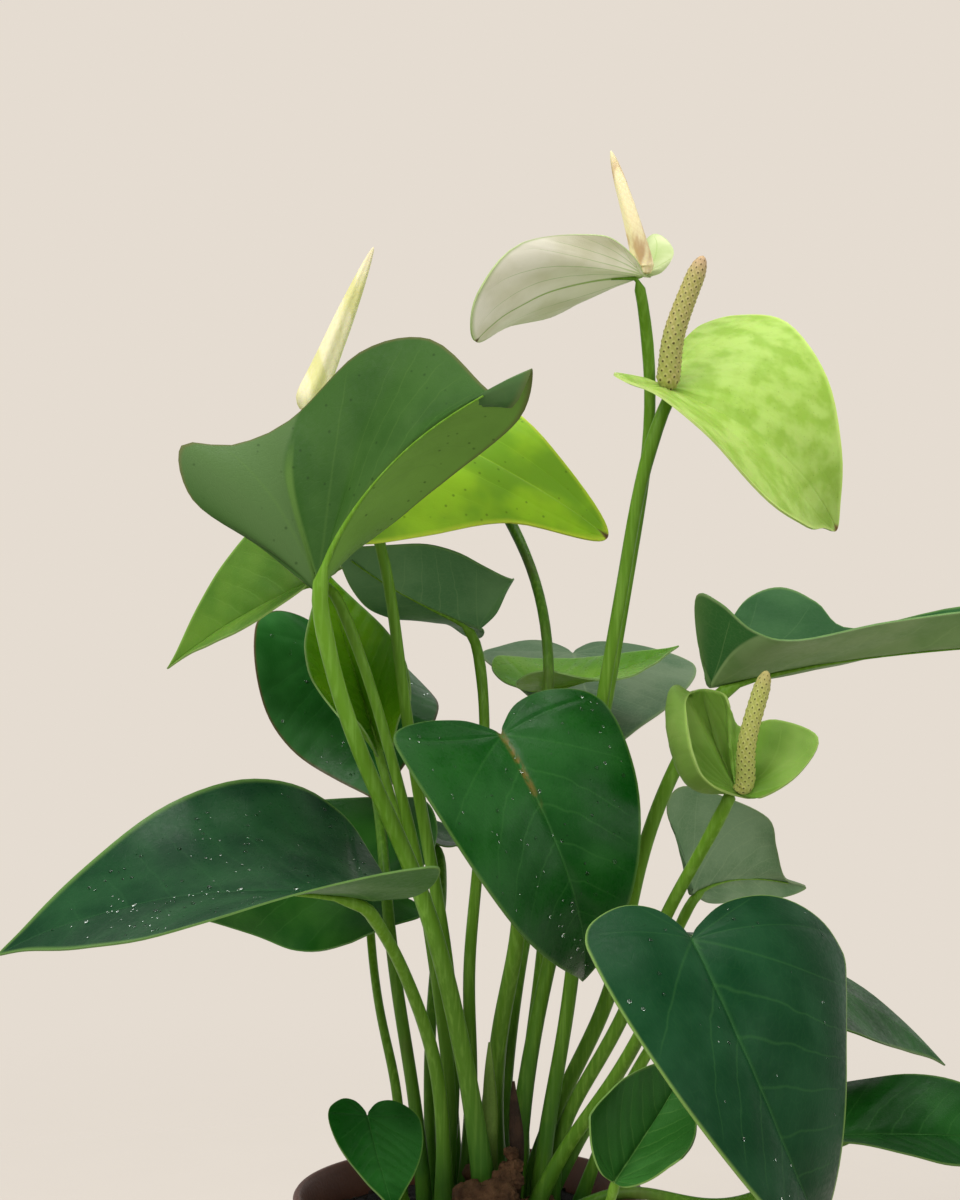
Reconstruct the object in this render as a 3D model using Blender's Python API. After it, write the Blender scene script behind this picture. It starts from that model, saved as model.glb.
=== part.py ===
"""A potted anthurium: heart-shaped leaves and four flowers on bare stalks.

Metres, Z up. The origin is the centre of the pot's foot, X runs to the right and
-Y is the front of the plant. Sizes of the pot and soil are named constants, and
each leaf and flower is one row of its own sizes, in millimetres and degrees.
"""
import math
from dataclasses import dataclass

import bmesh
import bpy
from mathutils import Vector

MM = 0.001
GAP = 0.3

# Pot
POT_HEIGHT = 108.0
POT_FOOT_RADIUS = 44.0
POT_RIM_RADIUS = 60.0
POT_RIM_DEPTH = 13.0
POT_WALL = 2.0
POT_FLOOR = 3.0
DRAIN_HOLES = 6
DRAIN_HOLE_RADIUS = 4.0
DRAIN_CIRCLE_RADIUS = 29.0
POT_SEGMENTS = 36

# Soil and crown
SOIL_TOP = 101.0
SOIL_SHOULDER_RADIUS = 40.0
SOIL_EDGE_DROP = 4.0
CROWN_CENTRE = (1.5, -3.0)
CROWN_RADIUS = 4.5
CROWN_HEIGHT = 17.0

# Leaves
BLADE_THICKNESS = 1.0
STALK_SIDES = 6
STALK_RINGS = 13
STALK_APPROACH = 9.0
RING_SHARES = (0.4, 0.75, 1.0)
SPIKE_NECK = 0.6

# Right half of a blade's outline, from the tip round the lobe to the notch where
# the stalk joins: across and along, in blade lengths.
HEART_OUTLINE = (
    (0.0, 1.0), (0.045, 0.90), (0.15, 0.74), (0.30, 0.52), (0.42, 0.28), (0.47, 0.04),
    (0.42, -0.17), (0.27, -0.28), (0.12, -0.24), (0.03, -0.10), (0.0, -0.02),
)
OUTLINE_HALF_WIDTH = 0.47
LOBE_REACH = 0.28


@dataclass(frozen=True)
class Blade:
    """A leaf blade or a spathe: where its stalk joins, how it points and how it bends."""

    at: tuple
    heading: float
    elevation: float
    roll: float
    length: float
    width: float
    droop: float
    lift: float
    fold: tuple
    curl: tuple
    twist: float = 0.0
    lobe: float = 1.0
    uneven: float = 1.0
    opening: float = 0.0
    ruffle: tuple = (0, 0)


@dataclass(frozen=True)
class ShapedBlade:
    """A blade too wavy for one bend: each spoke of the outline is placed by hand.

    A spoke is its place on the outline, then two points of the surface, in mm: half way
    out from the stalk and on the margin. Spokes run once round, from the tip by the right.
    """

    at: tuple
    spokes: tuple


@dataclass(frozen=True)
class Leaf:
    """A leaf: its blade, and the stalk's foot, way points and widths."""

    name: str
    blade: Blade
    route: tuple
    widths: tuple
    colour: tuple


@dataclass(frozen=True)
class Flower:
    """A flower: its spathe, its spike and the stalk that carries both."""

    name: str
    spathe: Blade
    route: tuple
    widths: tuple
    spike: tuple
    spike_widths: tuple
    colour: tuple
    spike_colour: tuple


DARK_GREEN = (0.016, 0.075, 0.022)
MID_GREEN = (0.035, 0.14, 0.025)
GREY_GREEN = (0.09, 0.17, 0.09)
LIME_GREEN = (0.16, 0.33, 0.03)
YOUNG_GREEN = (0.07, 0.25, 0.02)
PALE_GREEN = (0.42, 0.50, 0.30)
STALK_GREEN = (0.12, 0.26, 0.04)
CREAM = (0.75, 0.68, 0.38)
OLIVE = (0.32, 0.34, 0.10)

# Each route starts with the place of the stalk's foot, across and deep, and the
# widths are the stalk's at its foot, at the start of its slender part and at its top.
LEAVES = (
    Leaf("hood",
         ShapedBlade(at=(-48, -45, 316), spokes=(
              ((0, 1.0), (-24, -56, 357), (20, -72, 386)),
              ((0.045, 0.90), (-24, -54, 362), (14, -65, 375)),
              ((0.15, 0.74), (-26, -50, 367), (6, -58, 380)),
              ((0.30, 0.52), (-31, -43, 369), (-12, -42, 396)),
              ((0.42, 0.28), (-41, -40, 361), (-35, -34, 392)),
              ((0.47, 0.04), (-55, -38, 351), (-58, -30, 370)),
              ((0.45, -0.07), (-61, -42, 346), (-76, -35, 362)),
              ((0.42, -0.17), (-67, -45, 342), (-92, -40, 362)),
              ((0.27, -0.28), (-67, -46, 333), (-88, -44, 345)),
              ((0.12, -0.24), (-58, -45, 325), (-68, -44, 331)),
              ((0, -0.02), (-48, -44, 316), (-49, -44, 316)),
              ((-0.27, -0.28), (-48, -38, 319), (-49, -32, 322)),
              ((-0.47, 0.04), (-40, -38, 325), (-33, -30, 331)),
              ((-0.30, 0.52), (-25, -45, 347), (-5, -40, 353)),
              ((-0.15, 0.74), (-22, -52, 355), (16, -56, 371)))),
         route=((7, -16), (0, -19, 153), (-5, -24, 174), (-8, -28, 193),
                (-18, -34, 226), (-29, -38, 248), (-40, -42, 274), (-46, -45, 297)),
         widths=(10, 6.5, 5), colour=MID_GREEN),
    Leaf("lime_left",
         Blade(at=(-46, -4, 319), heading=164, elevation=-21, roll=30,
               length=69, width=0.47, droop=25, lift=10, fold=(25, 35), curl=(0, 0),
               twist=20, lobe=0.45, uneven=1.04, ruffle=(-2, -65)),
         route=((-8, -3), (-5, -5, 136), (-9, -8, 171), (-12, -10, 190), (-16, -10, 222),
                (-24, -9, 249), (-27, -8, 263), (-35, -6, 290), (-41, -5, 307)),
         widths=(6, 4.5, 3.5), colour=LIME_GREEN),
    Leaf("upper_back",
         Blade(at=(3, 34, 298), heading=-161, elevation=19, roll=-17,
               length=60, width=0.49, droop=-25, lift=35, fold=(45, 10), curl=(-20, -5),
               lobe=0.4, uneven=1.04, opening=0.5, ruffle=(-7, 5)),
         route=((-2, 9), (2, 9, 150), (-2, 10, 175), (0, 12, 192), (3, 14, 211),
                (6, 22, 267), (6, 28, 282)),
         widths=(6, 4.5, 3.5), colour=GREY_GREEN),
    Leaf("front_centre",
         Blade(at=(11, -32, 268), heading=-50, elevation=-43, roll=-29,
               length=105, width=0.40, droop=100, lift=-10, fold=(5, 15), curl=(-35, 25),
               twist=-10, lobe=0.35, uneven=1.05, opening=-0.7),
         route=((10, 5), (8, 4, 134), (9, 3, 150), (10, 0, 167), (16, -6, 189),
                (18, -12, 210), (15, -18, 245)),
         widths=(9, 6.5, 4.5), colour=DARK_GREEN),
    Leaf("right_folded",
         ShapedBlade(at=(83, 18, 279), spokes=(
              ((0, 1.0), (140, 5, 291), (220, -11, 298)),
              ((0.15, 0.74), (130, 2, 292), (186, -14, 308)),
              ((0.30, 0.52), (115, -1, 291), (140, -17, 304)),
              ((0.42, 0.28), (98, 0, 289), (109, -17, 298)),
              ((0.47, 0.04), (89, 3, 290), (95, -10, 300)),
              ((0.42, -0.17), (84, 8, 292), (84, -4, 309)),
              ((0.27, -0.28), (80, 12, 293), (77, 5, 311)),
              ((0.12, -0.24), (81, 16, 286), (78, 14, 295)),
              ((0, -0.02), (83, 18, 279), (82, 18, 280)),
              ((-0.12, -0.24), (84, 24, 283), (86, 30, 289)),
              ((-0.27, -0.28), (87, 35, 288), (91, 50, 296)),
              ((-0.42, -0.17), (94, 45, 292), (100, 70, 305)),
              ((-0.47, 0.04), (102, 48, 293), (113, 78, 309)),
              ((-0.42, 0.28), (111, 44, 292), (125, 70, 304)),
              ((-0.30, 0.52), (121, 35, 289), (136, 50, 296)),
              ((-0.15, 0.74), (141, 19, 290), (176, 17, 307)))),
         route=((19, 6), (25, 6, 125), (32, 7, 141), (38, 8, 153), (49, 9, 170),
                (55, 10, 206), (62, 10, 235), (67, 10, 245), (75, 12, 262)),
         widths=(8, 5.5, 5), colour=DARK_GREEN),
    Leaf("right_back",
         ShapedBlade(at=(79, 50, 202), spokes=(
              ((0, 1.0), (101, 80, 202), (127, 112, 193)),
              ((0.15, 0.74), (99, 72, 207), (117, 92, 200)),
              ((0.30, 0.52), (97, 66, 215), (112, 76, 214)),
              ((0.42, 0.28), (92, 60, 220), (108, 66, 226)),
              ((0.47, 0.04), (84, 54, 223), (92, 56, 235)),
              ((0.42, -0.17), (78, 50, 222), (76, 50, 240)),
              ((0.27, -0.28), (76, 47, 215), (70, 46, 233)),
              ((0.12, -0.24), (78, 47, 209), (74, 46, 220)),
              ((0, -0.02), (79, 50, 202), (78, 50, 202)),
              ((-0.27, -0.28), (79, 52, 203), (79, 54, 205)),
              ((-0.47, 0.04), (83, 56, 199), (86, 62, 196)),
              ((-0.30, 0.52), (92, 70, 198), (104, 88, 193)),
              ((-0.15, 0.74), (97, 78, 199), (118, 102, 191)))),
         route=((27, 12), (39, 16, 123), (47, 24, 134), (55, 32, 144), (66, 44, 166),
                (74, 51, 190)),
         widths=(6, 4.5, 3.5), colour=GREY_GREEN),
    Leaf("front_right",
         Blade(at=(70, -75, 209), heading=-63, elevation=-42, roll=-32,
               length=136, width=0.38, droop=110, lift=5, fold=(-20, 50), curl=(-40, -45),
               twist=10, lobe=0.35, uneven=0.75, opening=-0.2),
         route=((20, -14), (28, -15, 120), (36, -18, 134), (46, -24, 148),
                (55, -34, 167), (62, -46, 185)),
         widths=(7.5, 5, 4), colour=DARK_GREEN),
    Leaf("front_left",
         Blade(at=(-31, -53, 218), heading=-165, elevation=12, roll=35,
               length=125, width=0.53, droop=50, lift=5, fold=(50, -35), curl=(10, 25),
               twist=15, lobe=0.35, uneven=1.17, opening=0.7),
         route=((-8, -13), (-9, -15, 143), (-13, -19, 166), (-18, -22, 179),
                (-24, -32, 197)),
         widths=(9, 5, 4), colour=DARK_GREEN),
    Leaf("left_under",
         Blade(at=(-34, 38, 206), heading=164, elevation=1, roll=55,
               length=100, width=0.31, droop=32, lift=15, fold=(10, 5), curl=(-3, -5),
               twist=35, lobe=0.79, uneven=1.2, ruffle=(-10, -125)),
         route=((-23, -2), (-24, 6, 139), (-31, 23, 163), (-35, 41, 188)),
         widths=(5.5, 3.5, 3), colour=YOUNG_GREEN),
    Leaf("left_back",
         Blade(at=(-10, 76, 216), heading=165, elevation=16, roll=-9,
               length=62, width=0.32, droop=20, lift=10, fold=(10, 5), curl=(-10, 5),
               twist=5, lobe=0.5, ruffle=(-4, 60)),
         route=((-13, 14), (-14, 20, 145), (-12, 38, 180), (-9, 64, 205)),
         widths=(6, 4, 3.5), colour=DARK_GREEN),
    Leaf("dark_left",
         Blade(at=(-48, 65, 288), heading=-63, elevation=-50, roll=34,
               length=67, width=0.56, droop=5, lift=-5, fold=(20, -25), curl=(-15, -15),
               twist=-25, lobe=0.8, uneven=0.93, opening=-0.8, ruffle=(-5, -5)),
         route=((-15, -2), (-17, -1, 135), (-20, -1, 150), (-26, 1, 186), (-29, 13, 215),
                (-31, 34, 236), (-34, 46, 248), (-44, 65, 272)),
         widths=(6, 4.5, 3.5), colour=DARK_GREEN),
    Leaf("young_left",
         Blade(at=(-33, 30, 261), heading=127, elevation=60, roll=32,
               length=64, width=0.45, droop=-5, lift=30, fold=(60, 60), curl=(15, 0),
               uneven=0.93, opening=0.8, ruffle=(-2, -45)),
         route=((-4, 18), (-7, 18, 156), (-15, 19, 204), (-27, 21, 239)),
         widths=(5.5, 3.5, 3), colour=YOUNG_GREEN),
    Leaf("back_centre",
         Blade(at=(38, 88, 284), heading=-81, elevation=-22, roll=1,
               length=67, width=0.59, droop=0, lift=-10, fold=(-5, 0), curl=(0, -5),
               twist=5, lobe=0.72, uneven=0.86, ruffle=(-3, 80)),
         route=((11, 15), (12, 19, 135), (18, 32, 182), (27, 52, 219), (35, 75, 256)),
         widths=(6, 4.5, 3.5), colour=GREY_GREEN),
    Leaf("young_centre",
         Blade(at=(24, 36, 276), heading=18, elevation=6, roll=-11,
               length=54, width=0.50, droop=-5, lift=15, fold=(10, 25), curl=(0, 5),
               lobe=0.83, opening=0.7, ruffle=(-3, -75)),
         route=((19, 15), (18, 18, 135), (21, 20, 152), (26, 23, 193), (28, 27, 237)),
         widths=(6, 4, 3.2), colour=YOUNG_GREEN),
    Leaf("right_low",
         Blade(at=(83, 4, 192), heading=26, elevation=-15, roll=-15,
               length=118, width=0.34, droop=20, lift=10, fold=(-10, -5), curl=(-15, -5),
               twist=-15, lobe=0.35, ruffle=(2, -125)),
         route=((37, 1), (48, -1, 132), (62, -2, 159), (76, 1, 178)),
         widths=(6, 4.5, 3.5), colour=DARK_GREEN),
    Leaf("right_lowest",
         Blade(at=(124, -7, 129), heading=3, elevation=2, roll=8,
               length=74, width=0.44, droop=15, lift=10, fold=(45, 0), curl=(-30, -5),
               twist=-10, opening=-0.2, ruffle=(-4, -10)),
         route=((32, -8), (50, -14, 113), (62, -17, 112), (76, -19, 108), (89, -20, 108),
                (102, -17, 113), (113, -11, 119)),
         widths=(6, 4.5, 3.5), colour=DARK_GREEN),
    Leaf("small_right",
         Blade(at=(46, -77, 133), heading=63, elevation=20, roll=-26,
               length=64, width=0.42, droop=-10, lift=20, fold=(40, 45), curl=(45, 20),
               lobe=0.35, opening=0.2, ruffle=(-4, -45)),
         route=((33, -19), (40, -42, 115), (44, -64, 119)),
         widths=(5, 3.5, 3), colour=MID_GREEN),
    Leaf("small_left",
         Blade(at=(-32, -60, 149), heading=-77, elevation=-31, roll=7,
               length=46, width=0.33, droop=-10, lift=0, fold=(-5, 0), curl=(0, -15),
               lobe=0.6, uneven=0.85),
         route=((-19, -12), (-28, -30, 130), (-31, -45, 144)),
         widths=(5, 3.5, 2.8), colour=DARK_GREEN),
    Leaf("hidden_back",
         Blade(at=(10, 52, 346), heading=165, elevation=0, roll=0,
               length=78, width=0.38, droop=15, lift=10, fold=(0, 5), curl=(-5, -5),
               lobe=0.35),
         route=((4, 17), (5, 18, 134), (11, 17, 162), (19, 14, 202), (25, 6, 250),
                (28, 3, 274), (29, 5, 294), (21, 37, 326)),
         widths=(6, 4.5, 3.5), colour=DARK_GREEN),
)

FLOWERS = (
    Flower("top",
           ShapedBlade(at=(58, -4, 418), spokes=(
                ((0, 1.0), (25, -12, 412), (2, -22, 396)),
                ((0.15, 0.74), (35, 2, 411), (14, 6, 402)),
                ((0.30, 0.52), (42, 12, 412), (28, 20, 405)),
                ((0.42, 0.28), (49, 16, 416), (42, 30, 413)),
                ((0.47, 0.04), (56, 16, 422), (55, 34, 424)),
                ((0.42, -0.17), (61, 12, 426), (63, 24, 433)),
                ((0.27, -0.28), (64, 5, 423), (69, 12, 427)),
                ((0.12, -0.24), (62, -1, 420), (65, 2, 420)),
                ((0, -0.02), (58, -4, 418), (59, -4, 418)),
                ((-0.27, -0.28), (55, -8, 421), (54, -12, 424)),
                ((-0.47, 0.04), (49, -16, 425), (43, -24, 430)),
                ((-0.30, 0.52), (37, -24, 421), (17, -34, 427)),
                ((-0.15, 0.74), (30, -18, 417), (3, -32, 411)))),
           route=((15, -5), (16, -4, 136), (19, -3, 151), (22, -1, 167), (27, 2, 187),
                  (36, 6, 221), (48, 8, 279), (55, 9, 329), (58, 9, 343), (62, 9, 356),
                  (65, 9, 367), (65, 9, 377), (62, 4, 396)),
           widths=(8, 5.5, 3.6),
           spike=((54, -6, 436), (47, -4, 459)), spike_widths=(7, 3),
           colour=PALE_GREEN, spike_colour=CREAM),
    Flower("right",
           ShapedBlade(at=(65, -10, 381), spokes=(
                ((0, 1.0), (101, -11, 361), (124, 7, 333)),
                ((0.045, 0.90), (97, -13, 362), (119, -1, 334)),
                ((0.15, 0.74), (91, -19, 362), (112, -15, 335)),
                ((0.30, 0.52), (81, -27, 367), (97, -36, 344)),
                ((0.42, 0.28), (72, -30, 373), (77, -50, 365)),
                ((0.47, 0.04), (63, -28, 379), (61, -48, 378)),
                ((0.42, -0.17), (57, -25, 381), (50, -42, 383)),
                ((0.27, -0.28), (57, -20, 383), (47, -32, 385)),
                ((0.12, -0.24), (60, -14, 383), (56, -18, 384)),
                ((0, -0.02), (65, -10, 381), (64, -10, 382)),
                ((-0.12, -0.24), (66, -3, 386), (68, 5, 390)),
                ((-0.27, -0.28), (69, 5, 390), (74, 21, 398)),
                ((-0.42, -0.17), (74, 13, 394), (82, 37, 403)),
                ((-0.47, 0.04), (79, 14, 395), (93, 39, 406)),
                ((-0.42, 0.28), (86, 8, 392), (109, 26, 403)),
                ((-0.30, 0.52), (92, 0, 385), (121, 12, 384)),
                ((-0.15, 0.74), (96, -7, 374), (125, 5, 360)),
                ((-0.045, 0.90), (99, -9, 367), (125, 6, 342)))),
           route=((23, -6), (25, -4, 136), (31, -3, 151), (35, -4, 171), (37, -5, 209),
                  (44, -7, 278), (54, -9, 324), (55, -10, 339), (55, -11, 353),
                  (56, -12, 367)),
           widths=(7, 5, 4.2),
           spike=((68, -14, 400), (77, -14, 424)), spike_widths=(8, 6),
           colour=LIME_GREEN, spike_colour=OLIVE),
    Flower("left",
           ShapedBlade(at=(-53, 11, 374), spokes=(
                ((0, 1.0), (-3, 7, 361), (47, 14, 330)),
                ((0.15, 0.74), (-18, 0, 361), (14, -4, 336)),
                ((0.30, 0.52), (-31, -7, 358), (-15, -17, 332)),
                ((0.42, 0.28), (-44, -13, 357), (-39, -28, 330)),
                ((0.47, 0.04), (-57, -15, 360), (-60, -35, 338)),
                ((0.42, -0.17), (-61, -12, 363), (-69, -33, 349)),
                ((0.27, -0.28), (-61, -4, 368), (-69, -17, 359)),
                ((0, -0.02), (-53, 11, 374), (-54, 11, 374)),
                ((-0.27, -0.28), (-52, 22, 378), (-48, 32, 378)),
                ((-0.42, -0.17), (-48, 28, 380), (-41, 45, 381)),
                ((-0.47, 0.04), (-43, 31, 382), (-33, 53, 381)),
                ((-0.42, 0.28), (-33, 29, 382), (-16, 50, 381)),
                ((-0.30, 0.52), (-23, 23, 379), (6, 38, 379)),
                ((-0.15, 0.74), (-14, 14, 372), (28, 22, 361)))),
           route=((-9, 6), (-4, 5, 138), (-5, 6, 168), (-6, 7, 186), (-11, 9, 209),
                  (-18, 8, 246), (-23, 6, 282), (-26, 4, 310), (-27, 4, 330),
                  (-33, 4, 350)),
           widths=(6, 4.5, 3.8),
           spike=((-47, 10, 392), (-32, 8, 428)), spike_widths=(7, 3),
           colour=LIME_GREEN, spike_colour=CREAM),
    Flower("low",
           ShapedBlade(at=(87, -37, 250), spokes=(
                ((0, 1.0), (82, -16, 263), (77, -12, 281)),
                ((0.15, 0.74), (86, -20, 263), (84, -16, 280)),
                ((0.30, 0.52), (86, -24, 262), (86, -20, 276)),
                ((0.42, 0.28), (88, -26, 258), (90, -18, 269)),
                ((0.47, 0.04), (94, -30, 260), (101, -24, 272)),
                ((0.42, -0.17), (101, -35, 258), (114, -31, 267)),
                ((0.27, -0.28), (97, -38, 253), (107, -38, 256)),
                ((0.12, -0.24), (91, -39, 249), (95, -41, 249)),
                ((0, -0.02), (87, -37, 250), (87, -38, 249)),
                ((-0.27, -0.28), (73, -46, 252), (76, -54, 256)),
                ((-0.47, 0.04), (67, -40, 261), (71, -56, 266)),
                ((-0.30, 0.52), (66, -30, 275), (70, -46, 276)),
                ((-0.15, 0.74), (71, -22, 279), (71, -32, 280)))),
           route=((28, 3), (28, 2, 125), (36, 0, 140), (43, -3, 152), (52, -7, 168),
                  (65, -18, 207), (73, -24, 222), (80, -30, 235)),
           widths=(7, 5, 4.2),
           spike=((90, -42, 268), (96, -42, 290)), spike_widths=(6.5, 5.5),
           colour=YOUNG_GREEN, spike_colour=OLIVE),
)

# Old leaf sheaths at the stalks' feet: name, foot, way points, widths and colour.
SHEATHS = (
    ("green", ((8, -8), (8, -9, 130), (8, -10, 152)), (5, 3.6, 1.6), (0.20, 0.28, 0.06)),
    ("dry", ((17, 1), (18, 2, 120), (18, 1, 140)), (3, 2.6, 1.6), (0.07, 0.035, 0.02)),
)


def blade_axes(blade):
    """Directions of the blade where the stalk joins: along, right and up."""
    heading = math.radians(blade.heading)
    elevation = math.radians(blade.elevation)
    roll = math.radians(blade.roll)
    along = Vector((math.cos(elevation) * math.cos(heading),
                    math.cos(elevation) * math.sin(heading),
                    math.sin(elevation)))
    level_right = along.cross(Vector((0, 0, 1))).normalized()
    level_up = level_right.cross(along)
    right = level_right * math.cos(roll) + level_up * math.sin(roll)
    up = level_up * math.cos(roll) - level_right * math.sin(roll)
    return along, right, up


def arc(distance, turn):
    """Forward and upward reach after a distance on an arc that turns so much per unit."""
    if abs(turn) < 1e-6:
        return distance, 0.0
    return math.sin(turn * distance) / turn, (1.0 - math.cos(turn * distance)) / turn


def catmull(before, start, end, after, share):
    """Point on the smooth curve from start to end."""
    return 0.5 * (2 * start + (end - before) * share
                  + (2 * before - 5 * start + 4 * end - after) * share ** 2
                  + (3 * start - 3 * end + after - before) * share ** 3)


def whole_outline():
    """Right half of the outline followed by its mirror, once round from the tip."""
    left = tuple((-across, along) for across, along in reversed(HEART_OUTLINE[1:-1]))
    return HEART_OUTLINE + left


def outline_radius(angle):
    """Distance from the stalk to the outline in a direction, in blade lengths."""
    angle = abs(angle)
    for (x1, y1), (x2, y2) in zip(HEART_OUTLINE, HEART_OUTLINE[1:]):
        if angle <= math.atan2(x2, y2) + 1e-9:
            start = x1 * math.cos(angle) - y1 * math.sin(angle)
            end = x2 * math.cos(angle) - y2 * math.sin(angle)
            share = start / (start - end) if abs(start - end) > 1e-9 else 0.0
            return math.hypot(x1 + (x2 - x1) * share, y1 + (y2 - y1) * share)
    return math.hypot(*HEART_OUTLINE[-1])


def shaped_point(blade, across, along):
    """Point of a hand-shaped blade, in mm, from its place in blade lengths."""
    joint = Vector(blade.at)
    if math.hypot(across, along) < 1e-6:
        return joint
    angle = math.atan2(across, along)
    turn = angle % math.tau
    angles = [math.atan2(*spot) % math.tau for spot, _, _ in blade.spokes]
    count = len(angles)
    place = max(i for i in range(count) if angles[i] <= turn + 1e-9)
    end_angle = angles[place + 1] if place + 1 < count else math.tau
    share = (turn - angles[place]) / (end_angle - angles[place])
    around = [(place + step) % count for step in (-1, 0, 1, 2)]
    half_way = catmull(*(Vector(blade.spokes[i][1]) for i in around), share)
    margin = catmull(*(Vector(blade.spokes[i][2]) for i in around), share)
    reach = math.hypot(across, along) / outline_radius(angle)
    control = 2 * half_way - 0.5 * (joint + margin)
    return (joint * (1 - reach) ** 2 + control * 2 * reach * (1 - reach)
            + margin * reach ** 2)


def bent_point(blade, across, along):
    """Point of the middle of the blade, in mm, from its place in blade lengths."""
    right_half = across >= 0
    stretch = blade.uneven if right_half else 1.0 / blade.uneven
    width = blade.width / OUTLINE_HALF_WIDTH * stretch
    reach = along if along >= 0 else along * blade.lobe
    forward_axis, right_axis, up_axis = blade_axes(blade)

    # The midrib droops towards the tip, and the lobes lift behind the stalk.
    if reach >= 0:
        slope = -math.radians(blade.droop) * reach
        forward, rise = arc(reach, -math.radians(blade.droop))
    else:
        lift = math.radians(blade.lift) / LOBE_REACH
        slope = lift * reach
        forward, rise = arc(reach, lift)

    # Each half stands up from the midrib and curls on towards its margin.
    fold = math.radians(blade.fold[right_half])
    fold *= 1.0 - blade.opening * min(max(reach, -0.3), 1.0)
    curl = math.radians(blade.curl[right_half]) / blade.width
    distance = abs(across) * width
    out, up = arc(distance, curl)
    sideways = out * math.cos(fold) - up * math.sin(fold)
    upward = out * math.sin(fold) + up * math.cos(fold)
    sideways = sideways if right_half else -sideways

    # Three slow waves run round the margin.
    height, phase = blade.ruffle
    waves = 3 * math.atan2(across, along) + math.radians(phase)
    upward += height / 100 * math.sin(waves) * (across ** 2 + along ** 2) / 0.25

    twist = math.radians(blade.twist) * reach
    turned = sideways * math.cos(twist) - upward * math.sin(twist)
    upward = sideways * math.sin(twist) + upward * math.cos(twist)
    up_here = up_axis * math.cos(slope) - forward_axis * math.sin(slope)
    offset = forward_axis * forward + up_axis * rise + right_axis * turned + up_here * upward
    return Vector(blade.at) + offset * blade.length


def blade_point(blade, across, along):
    """Point of the middle of any blade, in mm, from its place in blade lengths."""
    if isinstance(blade, ShapedBlade):
        return shaped_point(blade, across, along)
    return bent_point(blade, across, along)


def blade_normal(blade, across, along, step=0.004):
    """Upper side's direction at a point of the blade."""
    right_edge = blade_point(blade, across + step, along)
    left_edge = blade_point(blade, across - step, along)
    ahead = blade_point(blade, across, along + step)
    behind = blade_point(blade, across, along - step)
    return (right_edge - left_edge).cross(ahead - behind).normalized()


def material(name, colour, roughness=0.4):
    """Principled material of one piece."""
    finish = bpy.data.materials.new(name)
    finish.use_nodes = True
    shader = finish.node_tree.nodes["Principled BSDF"]
    shader.inputs["Base Color"].default_value = (*colour, 1.0)
    shader.inputs["Roughness"].default_value = roughness
    shader.inputs["Metallic"].default_value = 0.0
    return finish


def finish_piece(name, mesh, colour, roughness=0.4, sharp_angle=50):
    """Scale a mesh from mm, close and shade it, and make it an object."""
    bmesh.ops.recalc_face_normals(mesh, faces=mesh.faces)
    if mesh.calc_volume(signed=True) < 0:
        bmesh.ops.reverse_faces(mesh, faces=mesh.faces)
    bmesh.ops.scale(mesh, vec=(MM, MM, MM), verts=mesh.verts)
    data = bpy.data.meshes.new(name)
    mesh.to_mesh(data)
    mesh.free()
    data.shade_smooth()
    data.set_sharp_from_angle(angle=math.radians(sharp_angle))
    data.materials.append(material(name, colour, roughness))
    piece = bpy.data.objects.new(name, data)
    bpy.context.scene.collection.objects.link(piece)
    return piece


def build_blade(name, blade, colour):
    """Solid blade: a fan of rings about the stalk's joint, upper and under side."""
    outline = whole_outline()
    count = len(outline)
    half = BLADE_THICKNESS / 2
    mesh = bmesh.new()
    sides = []
    for offset in (half, -half):
        middle = mesh.verts.new(blade_point(blade, 0, 0) + blade_normal(blade, 0, 0) * offset)
        rings = []
        for share in RING_SHARES:
            spots = [(across * share, along * share) for across, along in outline]
            rings.append([mesh.verts.new(blade_point(blade, *spot)
                                         + blade_normal(blade, *spot) * offset)
                          for spot in spots])
        for i in range(count):
            j = (i + 1) % count
            mesh.faces.new((middle, rings[0][i], rings[0][j]))
            for inner, outer in zip(rings, rings[1:]):
                mesh.faces.new((inner[i], outer[i], outer[j], inner[j]))
        sides.append(rings[-1])
    upper, under = sides
    for i in range(count):
        j = (i + 1) % count
        mesh.faces.new((upper[i], upper[j], under[j], under[i]))
    return finish_piece(name, mesh, colour, roughness=0.3)


def smooth_route(points, count):
    """Evenly stepped points on a Catmull-Rom curve through the given ones."""
    knots = [Vector(point) for point in points]
    knots = [2 * knots[0] - knots[1], *knots, 2 * knots[-1] - knots[-2]]
    fine = []
    for before, start, end, after in zip(knots, knots[1:], knots[2:], knots[3:]):
        for i in range(24):
            t = i / 24
            fine.append(catmull(before, start, end, after, t))
    fine.append(knots[-2])
    lengths = [0.0]
    for start, end in zip(fine, fine[1:]):
        lengths.append(lengths[-1] + (end - start).length)
    route = []
    place = 0
    for i in range(count):
        target = lengths[-1] * i / (count - 1)
        while place < len(fine) - 2 and lengths[place + 1] < target:
            place += 1
        span = lengths[place + 1] - lengths[place]
        route.append(fine[place].lerp(fine[place + 1], (target - lengths[place]) / span))
    return route


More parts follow.
